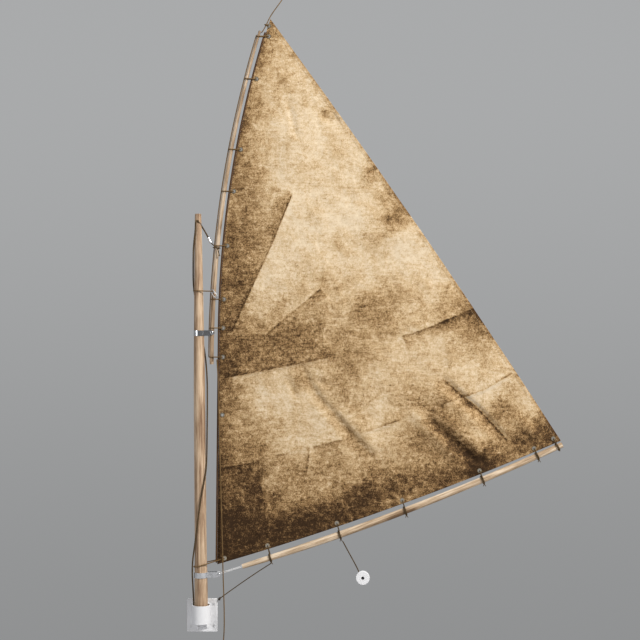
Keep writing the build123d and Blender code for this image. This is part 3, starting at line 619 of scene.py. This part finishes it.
def fold_height(x, z):
    """Height of the pressed folds towards the viewer, in metres."""
    high = np.zeros(x.shape)
    for line, height, near, far in CREASES:
        away, share = along_line(x, z, line)
        width = np.where(away > 0, far, near)
        ends = np.sin(np.clip(share, 0.0, 1.0) * pi) ** 0.5
        high += height * ends * np.exp(-((away / width) ** 2))
    return high


def pulls(x, z, from_foot):
    """Small gathers that run out from the foot's eyelets."""
    high = np.zeros(x.shape)
    for eyelet in [foot_eyelet(v) for v in BOOM_LASHINGS] + [at(*CLEW_EYELET)]:
        reach = np.hypot(x - eyelet.x, z - eyelet.z)
        angle = np.arctan2(z - eyelet.z, x - eyelet.x)
        rays = np.sin(angle * 9 + eyelet.x * 40)
        high += 0.0030 * rays * np.exp(-reach / 0.050) * soft_step(reach, 0.008, 0.03)
    lean = radians(32)
    ripple = np.sin((x * cos(lean) + z * sin(lean)) * 2 * pi / 0.027 + 1.4 * np.sin(x * 31))
    stretch = soft_step(x, 0.24, 0.36) * (1 - soft_step(x, 0.52, 0.66))
    return high + 0.0016 * ripple * stretch * np.exp(-from_foot / 0.055)


def belly(x, z):
    """The slight fullness of the cut, deepest in the middle."""
    return 0.006 * np.sin(np.clip((z - 0.25) / 1.3, 0, 1) * pi) * np.sin(np.clip((x - 0.05) / 0.8, 0, 1) * pi)


# ---------------------------------------------------------------- sail
ROWS, COLUMNS, CLOTH = 460, 300, 0.0008
HOLE_R, HOLE_CUT = 0.0047, 0.0036     # an eyelet's hole, and how far the grid is opened for it


def sail_grid():
    """Places over the sail, from the luff to the leech in each row and from the foot to the head."""
    foot = [foot_line.point(t) for t in np.linspace(0, 1, COLUMNS + 1)]
    tack, clew = foot[0], foot[-1]
    x = np.zeros((ROWS + 1, COLUMNS + 1))
    z = np.zeros_like(x)
    for i in range(ROWS + 1):
        up = i / ROWS
        height = TACK[1] + (HEAD[1] - TACK[1]) * up
        left = at(luff_x(height), height)
        right = leech_line.point(1 - up)
        for j in range(COLUMNS + 1):
            u = j / COLUMNS
            sag = foot[j] - (tack * (1 - u) + clew * u)
            place = left * (1 - u) + right * u + sag * (1 - up) ** 3
            x[i, j], z[i, j] = place.x, place.z
    return x, z


def make_sail(cloth):
    x, z = sail_grid()
    taken = set()
    holes = {}
    for eyelet in EYELETS:
        away = np.hypot(x - eyelet.x, z - eyelet.z)
        i, j = np.unravel_index(np.argmin(away), away.shape)
        i, j = min(max(i, 1), ROWS - 1), min(max(j, 1), COLUMNS - 1)
        across = max(1, int(round(HOLE_CUT / max(1e-5, abs(x[i, j + 1] - x[i, j])))))
        across = min(across, j, COLUMNS - j)
        up = max(1, int(round(HOLE_CUT / abs(z[i + 1, j] - z[i, j]))))
        for a in range(i - up, i + up):
            for b in range(j - across, j + across):
                taken.add((a, b))
        for a in range(i - up, i + up + 1):
            for b in range(j - across, j + across + 1):
                if a in (i - up, i + up) or b in (j - across, j + across):
                    dx, dz = x[a, b] - eyelet.x, z[a, b] - eyelet.z
                    reach = max(hypot(dx, dz), 1e-6)
                    holes[(a, b)] = (eyelet.x + dx / reach * HOLE_R, eyelet.z + dz / reach * HOLE_R)
                else:
                    holes[(a, b)] = None
    for (a, b), place in holes.items():
        if place:
            x[a, b], z[a, b] = place

    from_luff = x - np.vectorize(luff_x)(z)
    foot_mid = foot_line.centre
    from_foot = np.abs(np.hypot(x - foot_mid.x, z - foot_mid.z) - foot_line.radius)
    leech_mid = leech_line.centre
    from_leech = np.abs(np.hypot(x - leech_mid.x, z - leech_mid.z) - leech_line.radius)
    edges = soft_step(from_luff, 0.004, 0.05) * soft_step(from_foot, 0.002, 0.045)
    for eyelet in EYELETS:
        edges *= soft_step(np.hypot(x - eyelet.x, z - eyelet.z), 0.007, 0.03)
    wander = even_noise(x, z, 0.16, 3, 3.0)
    rough = even_noise(x, z, 0.045, 5, 8.0)
    folds = fold_height(x, z)
    gathers = pulls(x, z, from_foot)
    high = (1.25 * folds + gathers + belly(x, z) + 0.0018 * wander + 0.0012 * rough) * edges
    middle = RIG_Y - high

    drift = even_noise(x, z, 0.05, 4, 21.0)
    blots = stain_field(x + 0.014 * rough, z + 0.014 * drift, STAINS, 0.55 * rough)
    pale = stain_field(x + 0.010 * drift, z, FADES, 0.3 * rough)
    seams = seam_field(x, z)
    # Real stains, fades and grime, mixed with the seams' painted shadow and highlight and, below, the folds'
    # painted shading.
    age = 1 - (1 - blots * 0.80) * (1 - seams * (0.95 + 0.5 * rough))
    grime = (0.36 * np.exp(-from_foot / 0.050) + 0.14 * np.exp(-from_luff / 0.014)
             + 0.22 * np.exp(-from_leech / 0.006)
             + 0.22 * np.exp(-np.hypot(x - 0.09, (z - 0.27) * 0.7) / 0.06))
    # Painted shade in the valleys of the folds and gathers, and a painted highlight on their ridges.
    painted_fold_shading = np.clip(-24 * folds - 44 * gathers, -0.20, 0.42)
    age = (0.278 + 0.10 * wander + 0.10 * rough + age * 0.76 + grime
           - 0.45 * pale * (1 - 0.6 * seams) + painted_fold_shading)
    age = np.clip(age, 0, 1)

    points, faces = [], []
    index = {}
    count = 0
    for i in range(ROWS + 1):
        for j in range(COLUMNS + 1):
            if holes.get((i, j), 1) is None:
                continue
            index[(i, j)] = count
            points.append((x[i, j], middle[i, j] - CLOTH / 2, z[i, j]))
            count += 1
    back = count
    for i in range(ROWS + 1):
        for j in range(COLUMNS + 1):
            if (i, j) in index:
                points.append((x[i, j], middle[i, j] + CLOTH / 2, z[i, j]))
    edge_use = {}
    for i in range(ROWS):
        for j in range(COLUMNS):
            if (i, j) in taken:
                continue
            corners = [(i, j), (i, j + 1), (i + 1, j + 1), (i + 1, j)]
            if not all(c in index for c in corners):
                continue
            quad = [index[c] for c in corners]
            faces.append(tuple(quad))
            faces.append(tuple(back + v for v in reversed(quad)))
            for a, b in zip(quad, quad[1:] + quad[:1]):
                edge_use[(a, b)] = edge_use.get((a, b), 0) + 1
    for a, b in edge_use:
        if (b, a) not in edge_use:
            faces.append((b, a, back + a, back + b))
    sail = new_object("canvas_sail", points, faces, cloth)
    for name, values in (("age", age), ("from_leech", from_leech)):
        layer = sail.data.attributes.new(name, "FLOAT", "POINT")
        flat = [values[key] for key in index]
        layer.data.foreach_set("value", np.array(flat + flat, dtype=np.float32))
    return sail


# ---------------------------------------------------------------- finishes
# From clean canvas to its darkest stain; the painted shade of the folds and seams takes these colours too.
CANVAS_AGE_AND_SHADE_COLOURS = [
    (0.0, linear(233, 214, 185)), (0.22, linear(220, 196, 161)), (0.42, linear(197, 166, 123)),
    (0.62, linear(152, 120, 80)), (0.80, linear(100, 74, 46)), (1.0, linear(52, 36, 21)),
]
HEM, STITCH_LINE, WEAVE = 0.0102, 0.0088, 0.0012


def canvas_finish():
    m = Material("aged_canvas", Roughness=0.9, Specular_IOR_Level=0.15)
    where = m.place()
    x, _, z = m.axes(where)
    weave = (x * 2 * pi / WEAVE).wave() * (z * 2 * pi / WEAVE).wave() * 0.5 + 0.5
    slub = m.noise(m.place(scale=(1, 1, 7)), 210, 2) + m.noise(m.place(scale=(7, 1, 1)), 210, 2)
    blotch = m.noise(where, 13, 7, 0.64, 0.7)
    patch = m.noise(where, 52, 5, 0.62, 0.3)
    grain = m.noise(where, 125, 6, 0.80)
    speck = m.noise(where, 380, 2, 0.6)
    streak = m.noise(m.place(turn=(0, radians(-34), 0), scale=(1, 1, 6)), 26, 5, 0.62, 0.6)
    # The stored age also carries the painted shade and highlight of the folds and seams.
    age = m.stored("age")
    dye = age * 0.35 + 0.55
    mottle = (grain - 0.5) * 1.55 + (speck - 0.5) * 1.15 + (slub - 1.0) * 0.30
    dark = age + (blotch - 0.5) * 0.55 + (patch - 0.5) * 0.55 + (streak - 0.5) * 0.55 + mottle * dye
    freckle = m.noise(where, 115, 3, 0.7).ramp(0.62, 0.70) * m.noise(where, 9, 2).ramp(0.50, 0.62)
    dark = dark + freckle * 0.28
    cloth = m.colours(dark, CANVAS_AGE_AND_SHADE_COLOURS)
    hem = m.stored("from_leech")
    inside = 1 - hem.ramp(HEM - 0.0004, HEM + 0.0004)
    thread_line = 1 - (hem - STITCH_LINE).size().ramp(0.0003, 0.0008)
    along = ((z * 0.8 - x * 0.55) / 0.0042).part()
    stitch = thread_line * along.ramp(0.22, 0.3) * (1 - along.ramp(0.8, 0.88))
    cloth = m.mix(inside * 0.08, cloth, linear(150, 108, 62))
    cloth = m.mix(stitch * 0.45, cloth, linear(206, 184, 146))
    cloth = m.mix((1 - weave) * 0.10, cloth, linear(96, 70, 42))
    m.set("Base Color", cloth)
    m.set("Roughness", 0.84 + 0.12 * blotch)
    height = weave * 0.12 + slub * 0.10 + grain * 0.35 + inside * 0.5 + stitch * 0.35 + patch * 0.8
    m.bump(height, 0.6, 0.0013)
    return m


def wood_finish(name, pale, mid, deep, seed=0.0, bow=None):
    """Bare aged wood whose grain runs along the spar, round its bow if it has one."""
    m = Material(name, Roughness=0.7, Specular_IOR_Level=0.3)
    where = m.place()
    across, through, along = m.axes(where)
    if bow:
        dx, dz = across - bow.centre.x, along - bow.centre.z
        across = (dx * dx + dz * dz) ** 0.5 - bow.radius
        along = m.angle(dz, dx) * bow.radius
    wide = m.noise(m.vector(across + seed, through, along * 0.06), 95, 4, 0.6, 0.8)
    fine = m.noise(m.vector(across + seed, through, along * 0.03), 330, 4, 0.7)
    blot = m.noise(m.vector(across, through, along * 0.5 + seed), 16, 4, 0.6, 0.5)
    knots = m.cells(m.vector(across, through, along * 0.34 + seed), 9)
    knot = 1 - knots.ramp(0.05, 0.19)
    tone = 0.46 + (wide - 0.5) * 2.1 + (fine - 0.5) * 1.5 + (blot - 0.5) * 0.8 + knot * 0.35
    m.set("Base Color", m.colours(tone, [(0.1, pale), (0.5, mid), (0.95, deep)]))
    m.set("Roughness", 0.58 + 0.24 * fine)
    m.bump(fine * 0.5 + wide * 0.35 - knot * 0.3, 0.4, 0.0009)
    return m


def cord_finish(name, pale, deep, scale=1.0):
    m = Material(name, Roughness=0.88, Specular_IOR_Level=0.2)
    where = m.place()
    fibre = m.noise(where, 1500 * scale, 4, 0.7)
    patch = m.noise(where, 55, 3, 0.6)
    m.set("Base Color", m.colours(fibre * 0.55 + patch * 0.6 - 0.08, [(0.2, deep), (0.8, pale)]))
    m.set("Roughness", 0.78 + 0.18 * fibre)
    m.bump(fibre, 0.35, 0.0003)
    return m


def steel_finish(name, colour, rough, brushed=(1, 1, 1), wear=0.3):
    m = Material(name, Metallic=1.0)
    streaks = m.noise(m.place(scale=brushed), 420, 3, 0.6)
    smears = m.noise(m.place(), 95, 5, 0.65, 0.4)
    dull = smears.ramp(0.48, 0.78)
    m.set("Base Color", m.mix(dull * wear, colour, tuple(c * 0.42 for c in colour)))
    m.set("Roughness", rough + 0.16 * dull + 0.07 * streaks)
    m.bump(streaks * 0.5 + smears * 0.3, 0.12, 0.0003)
    return m


def plastic_finish(name, colour):
    m = Material(name, Specular_IOR_Level=0.5)
    where = m.place()
    orange_peel = m.noise(where, 900, 2, 0.5)
    grime = m.noise(where, 38, 6, 0.66, 0.5).ramp(0.52, 0.8)
    m.set("Base Color", m.mix(grime * 0.08, colour, tuple(c * 0.7 for c in colour)))
    m.set("Roughness", 0.38 + 0.1 * grime + 0.04 * orange_peel)
    m.bump(orange_peel, 0.05, 0.00005)
    return m


def paint_finish(name, colour):
    m = Material(name, Metallic=0.1)
    # Patches where the black paint is rubbed through to grey steel.
    wear_and_highlight = m.noise(m.place(), 700, 5, 0.7)
    m.set("Base Color", m.mix(wear_and_highlight.ramp(0.6, 0.74) * 0.5, colour, (0.16, 0.16, 0.16)))
    m.set("Roughness", 0.38 + 0.2 * wear_and_highlight)
    m.bump(wear_and_highlight, 0.15, 0.0002)
    return m


canvas = canvas_finish()
mast_wood = wood_finish("mast_wood", linear(214, 188, 158), linear(176, 147, 119), linear(116, 86, 62), 3.1)
yard_wood = wood_finish("yard_wood", linear(212, 190, 164), linear(168, 142, 114), linear(100, 76, 54),
                        7.7, yard_line)
boom_wood = wood_finish("boom_wood", linear(226, 206, 180), linear(188, 162, 132), linear(118, 92, 66),
                        5.2, boom_line)
brown_cord = cord_finish("brown_cord", linear(140, 112, 72), linear(74, 54, 32))
dark_cord = cord_finish("dark_cord", linear(104, 84, 56), linear(48, 36, 24))
dark_rope = cord_finish("luff_rope", linear(104, 74, 46), linear(48, 30, 18), 0.6)
polished = steel_finish("band_steel", (0.78, 0.79, 0.81), 0.14, (1, 1, 30), 0.5)
bright = steel_finish("bright_steel", (0.74, 0.75, 0.77), 0.2, (1, 30, 1), 0.4)
old_brass = steel_finish("dull_brass", (0.60, 0.51, 0.36), 0.30, (1, 1, 1), 0.9)
hook_steel = steel_finish("hook_steel", (0.50, 0.50, 0.50), 0.36, (1, 1, 1), 0.6)
zinc = steel_finish("screw_zinc", (0.86, 0.86, 0.87), 0.5, (1, 1, 1), 0.3)
satin = steel_finish("satin_steel", (0.90, 0.90, 0.90), 0.46, (1, 1, 1), 0.25)
white_plastic = plastic_finish("white_plastic", (0.82, 0.82, 0.835))
black_paint = paint_finish("black_steel", (0.012, 0.012, 0.013))

FINISHES = {
    white_plastic: ("wall_socket", "sheet_peg", "head_peg", "tack_peg"),
    zinc: ("plate_screws",),
    black_paint: ("sheet_peg_screw", "head_peg_screw", "tack_peg_screw", "vang_screw_eye"),
    mast_wood: ("mast",),
    yard_wood: ("yard",),
    boom_wood: ("boom",),
    polished: ("mast_band_lower", "mast_band_upper"),
    bright: ("gooseneck_bolt", "gooseneck_nut", "yard_bolt", "yard_nut", "halyard_ferrule"),
    satin: ("gooseneck_rod",),
    hook_steel: ("snap_hook", "snap_gate"),
    old_brass: ("luff_eyelets", "foot_eyelets", "tack_eyelet", "clew_eyelet", "head_eyelet"),
}
for finish, names in FINISHES.items():
    for name in names:
        nodes[name].data.materials.clear()
        nodes[name].data.materials.append(finish.material)


# ---------------------------------------------------------------- cloth and its rope
sail = make_sail(canvas)
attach(sail, "rig")
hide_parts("sail")

ROPE_OFF = 0.002652     # from the sail's edge to the middle of its bolt rope
luff_heights = np.linspace(TACK[1] + 0.004, HEAD[1] - 0.036, 120)
rope_line = [at(luff_x(z) - ROPE_OFF, z) for z in luff_heights]
bolt_rope = rope("luff_rope", rope_line, LUFF_ROPE_R, dark_rope, lay=6.5)
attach(bolt_rope, "rig")
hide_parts("luff_bolt_rope")


# ---------------------------------------------------------------- lacing and lashings
def finish_lashing(name, pieces, node):
    made = joined(name, pieces)
    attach(made, "rig")
    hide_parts(node)


def beside_yard(z):
    t = yard_line.share_at(z, 2)
    return yard_line.point(t, between(YARD_STATIONS, t) + CORD_R + 0.0008)


def lacing(name, high, low, heights):
    """The line along the yard, with a turn round the yard through each eyelet."""
    run = [beside_yard(z) for z in np.linspace(high, low, 60)]
    pieces = [rope(name, run, CORD_R, brown_cord)]
    for z in heights:
        t = yard_line.share_at(z, 2)
        loop = loop_line(yard_line.point(t), luff_eyelet(z), between(YARD_STATIONS, t))
        pieces.append(rope(name, loop, CORD_R, brown_cord, closed=True))
    finish_lashing(name, pieces, name)


LACING_JOIN = 1.098
lacing("yard_lacing_upper", YARD_EYELETS[0] + 0.003, LACING_JOIN, YARD_EYELETS[:4])
lacing("yard_lacing_lower", LACING_JOIN, YARD_EYELETS[-1], YARD_EYELETS[4:])


def boom_lashing(node, x, eye, tails):
    """Two turns round the boom, one of them through the eyelet, with a knot below and its tails."""
    t = boom_line.share_at(x, 0)
    centre = boom_line.point(t)
    size = between(BOOM_STATIONS, t) + 0.0006
    reach = (eye - centre).normalized()
    axis = reach.cross(ACROSS).normalized()
    shift = axis * (2 * CORD_R + 0.00015)
    turns = (loop_line(centre, eye, size), circle(centre + shift, axis, size + CORD_R + CLEAR))
    pieces = [rope(node, line, CORD_R, dark_cord, closed=True) for line in turns]
    below = centre + shift * 0.5 - reach * (size + CORD_R + 0.0012) - ACROSS * 0.003
    pieces.append(knot(below, (axis + ACROSS * 0.5).normalized(), KNOT_TURN_R, dark_cord))
    for lean in tails:
        tail = ((0, 0, 0), (lean * 2, -0.0014, -0.003), (lean * 4, -0.0010, -0.0066))
        tail = smooth_route([below + Vector(step) for step in tail], 8)
        pieces.append(rope(node, tail, CORD_R * 0.7, dark_cord))
    finish_lashing(f"{node}_cord", pieces, node)


def single_turn(node, line):
    """A lashing of one closed turn."""
    finish_lashing(f"{node}_cord", [rope(node, line, CORD_R, brown_cord, closed=True)], node)


for number, x in enumerate(BOOM_LASHINGS, 1):
    boom_lashing(f"boom_lashing_{number}", x, foot_eyelet(x), (-0.0007, 0.0011))
boom_lashing("clew_lashing", BOOM_OUTER[0] - 0.012, at(*CLEW_EYELET), ())
TACK_TIE_Z, HEAD_TIE, PARREL_Z = 0.146, (0.1786, 1.6304), 0.899
TIE_OFF = 0.0011        # how far the tack's and the head's turns stand off what they go round
single_turn("tack_lashing",
            loop_line(mast_point(TACK_TIE_Z), at(*TACK_EYELET), mast_radius(TACK_TIE_Z) + TIE_OFF))
single_turn("head_lashing", loop_line(at(*HEAD_TIE), at(*HEAD_EYELET), LINE_R + TIE_OFF))
HOOK_EYE = at(0.0305, PARREL_Z - 0.001, RIG_Y - 0.0104)
parrel_way = (HOOK_EYE - mast_point(PARREL_Z)).normalized()
single_turn("parrel", loop_line(mast_point(PARREL_Z), HOOK_EYE, mast_radius(PARREL_Z) + 0.0003,
                                Vector((0, 0, 1)).cross(parrel_way), eye_bend=0.0036))


# ---------------------------------------------------------------- halyard and its strop
HALYARD_IN, HALYARD_OUT = at(0.0006, 1.078), at(-0.0094, 1.090, RIG_Y - 0.0096)
FERRULE_LOW, FERRULE_HIGH = at(0.0275, 1.0304, RIG_Y - 0.0016), at(0.0194, 1.0453)
# Turn round the mast in degrees, height and stand-off from its surface, from the masthead to the socket.
HALYARD_WINDING = [
    (30, 1.064, 0.004), (50, 1.036, 0.0036), (72, 1.01, 0.0034), (88, 0.982, 0.0032), (104, 0.95, 0.004),
    (122, 0.918, 0.0064), (140, 0.886, 0.0066), (158, 0.852, 0.0044), (176, 0.82, 0.0042),
    (192, 0.788, 0.0046), (210, 0.757, 0.0046), (232, 0.73, 0.0038), (252, 0.698, 0.0046),
    (264, 0.655, 0.0063), (269, 0.6, 0.0059), (272, 0.545, 0.005), (275, 0.49, 0.0039),
    (281, 0.445, 0.0033), (297, 0.408, 0.0036), (320, 0.378, 0.0038), (342, 0.345, 0.0036),
    (360, 0.308, 0.0033), (377, 0.268, 0.0033), (394, 0.23, 0.0034), (410, 0.194, 0.0044),
    (425, 0.16, 0.0069), (438, 0.126, 0.0069), (446, 0.088, 0.0046), (450, 0.044, 0.00225),
    (451, 0.002, 0.0022),
]


def round_mast(turn, z, off):
    reach = mast_radius(z) + off
    return at(mast_x(z) - reach * sin(radians(turn)), z, RIG_Y - reach * cos(radians(turn)))


way = (HALYARD_OUT - HALYARD_IN).normalized()
halyard_route = [FERRULE_HIGH, HALYARD_IN - way * 0.006, HALYARD_IN + way * 0.0206,
                 at(-0.0127, 1.0915, RIG_Y - 0.0164), at(-0.01375, 1.0852, RIG_Y - 0.0192),
                 at(-0.0144, 1.0755, RIG_Y - 0.0163)]
halyard_route += [round_mast(*station) for station in HALYARD_WINDING]


def finish_line(node):
    """Hides the part that a taut line's cord stands in for."""
    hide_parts(node)


halyard_line = smooth_route(halyard_route)
halyard = rope("halyard_cord", halyard_line, HALYARD_R, dark_cord)
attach(halyard, "rig")
finish_line("halyard")

t = yard_line.share_at(1.0175, 2)
hitch, yard_way = yard_line.point(t), yard_line.tangent(t)
size = between(YARD_STATIONS, 0.4) + 0.0037
over_lacing = hitch - Vector((0.0018, 0, 0))
tail = hitch + Vector((0.0065, -size - 0.0016, -0.022))
to_ferrule = [FERRULE_LOW, over_lacing + Vector((-0.001, -size + 0.0002, 0.0004))]
to_tail = [over_lacing + Vector((0.0015, -size - 0.0002, 0)),
           hitch + Vector((0.0045, -size - 0.0012, -0.010)), tail]
strop = [rope("strop", circle(over_lacing, yard_way, size), CORD_R, dark_cord, closed=True),
         rope("strop", to_ferrule, CORD_R, dark_cord),
         rope("strop", smooth_route(to_tail, 8), CORD_R, dark_cord),
         knot(tail, yard_way, 0.0016, dark_cord)]
finish_lashing("halyard_strop_cord", strop, "halyard_strop")


# ---------------------------------------------------------------- lines to the wall
HEAD_LINE = [
    (0.1655, 1.607, -0.042), (0.173, 1.619, -0.0386), (0.1805, 1.6345, -0.0361), (0.188, 1.651, -0.0359),
    (0.198, 1.6675, -0.033), (0.2095, 1.684, -0.0296), (0.222, 1.7025, -0.025), (0.2385, 1.7335, -0.0155),
    (0.2412, 1.7483, HITCH_Y),
]
SHEET_LINE = [
    (0.389, 0.2105), (0.3995, 0.1905, -0.032), (0.411, 0.1685, -0.0265), (0.424, 0.144, -0.0205),
    (0.4362, 0.1185, -0.0145), (0.4366, 0.1116, HITCH_Y),
]
VANG_LINE = [
    (0.193, 0.1505), (0.160, 0.1285, -0.030), (0.126, 0.1045, -0.0225), (0.088, 0.0765, -0.014),
    (0.0518, 0.0496, -0.0076), (0.0475, 0.045, -0.0072), (0.0442, 0.0425, -0.0072),
]
DOWNHAUL_LINE = [
    (0.0435, 0.711, -0.0452), (0.0465, 0.668, -0.0424), (0.0476, 0.610, -0.041), (0.0492, 0.545, -0.0411),
    (0.0505, 0.480, -0.0412), (0.0526, 0.415, -0.0414), (0.0542, 0.350, -0.0419), (0.0564, 0.285, -0.0428),
    (0.0579, 0.225, -0.0442), (0.0596, 0.172, -0.0456), (0.0604, 0.120, -0.0449), (0.0618, 0.068, -0.0376),
    (0.0626, 0.016, -0.0304), (0.0622, -0.036, -0.0226), (0.0575, -0.0925, -0.0135),
    (0.0572, -0.1107, HITCH_Y),
]
# The vang runs through its screw eye, and a turn behind the eye stops it.
VANG_STOP, VANG_EYE_WAY = at(0.0454, 0.0434, -0.0072), Vector((0.8, 0, 0.6))
CORD_SLOTS = {"brown_cord": brown_cord, "dark_cord": dark_cord}

for name, route, radius, slot in (("head_line", HEAD_LINE, LINE_R, "brown_cord"),
                                  ("sheet", SHEET_LINE, SHEET_R, "dark_cord"),
                                  ("vang", VANG_LINE, LINE_R, "dark_cord"),
                                  ("downhaul", DOWNHAUL_LINE, SHEET_R, "brown_cord")):
    line = smooth_route([at(*place) for place in route])
    made = rope(f"{name}_cord", line, radius, CORD_SLOTS[slot])
    if name == "vang":
        stopper = rope("stopper", circle(VANG_STOP, VANG_EYE_WAY, 0.0019, 16), 0.0011, dark_cord, closed=True)
        made = joined("vang_cord", [made, stopper])
    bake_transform(made)
    finish_line(name)

for name, place, radius, slot in (("sheet", (0.4445, 0.108), SHEET_R, "dark_cord"),
                                  ("head", (0.2495, 1.750), LINE_R, "brown_cord"),
                                  ("tack", (0.0653, -0.114), SHEET_R, "brown_cord")):
    turns = [circle(at(*place, y), ACROSS, PEG_STEM_R + radius + CLEAR)
             for y in (HITCH_Y + 2 * radius + 0.0002, HITCH_Y)]
    made = joined(f"{name}_peg_turns",
                  [rope("turn", turn, radius, CORD_SLOTS[slot], closed=True) for turn in turns])
    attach(made, "wall_fittings")
    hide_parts(f"{name}_peg_hitch")


# ---------------------------------------------------------------- floor and surroundings
FLOOR_DROP, FLOOR_CORNERS = 0.25, ((-5, -5), (6, -5), (6, 1.2), (-5, 1.2))
floor_z = cad_box[0][2] - FLOOR_DROP
floor_finish = Material("pale_floor", Roughness=0.9)
floor_finish.set("Base Color", (0.45, 0.45, 0.46))
floor = new_object("floor", [(*corner, floor_z) for corner in FLOOR_CORNERS], [(0, 1, 2, 3)],
                   floor_finish, smooth=False)

# A pale room that is a little darker towards the floor, and dim behind the viewer.
world = bpy.data.worlds.new("studio")
world.use_nodes = True
sky = world.node_tree
toward = sky.nodes.new("ShaderNodeTexCoord").outputs["Generated"]
split = sky.nodes.new("ShaderNodeSeparateXYZ")
sky.links.new(toward, split.inputs[0])
shades = []
for axis, low, high, dim, full in (("Y", -0.35, 0.55, 0.34, 1.0), ("Z", -0.30, 0.20, 0.28, 0.405)):
    span = sky.nodes.new("ShaderNodeMapRange")
    span.interpolation_type = "SMOOTHSTEP"
    sky.links.new(split.outputs[axis], span.inputs["Value"])
    span.inputs["From Min"].default_value = low
    span.inputs["From Max"].default_value = high
    span.inputs["To Min"].default_value = dim
    span.inputs["To Max"].default_value = full
    shades.append(span.outputs["Result"])
strength = sky.nodes.new("ShaderNodeMath")
strength.operation = "MULTIPLY"
sky.links.new(shades[0], strength.inputs[0])
sky.links.new(shades[1], strength.inputs[1])
room = sky.nodes["Background"]
room.inputs["Color"].default_value = (0.985, 1.0, 1.012, 1)
sky.links.new(strength.outputs[0], room.inputs["Strength"])
bpy.context.scene.world = world
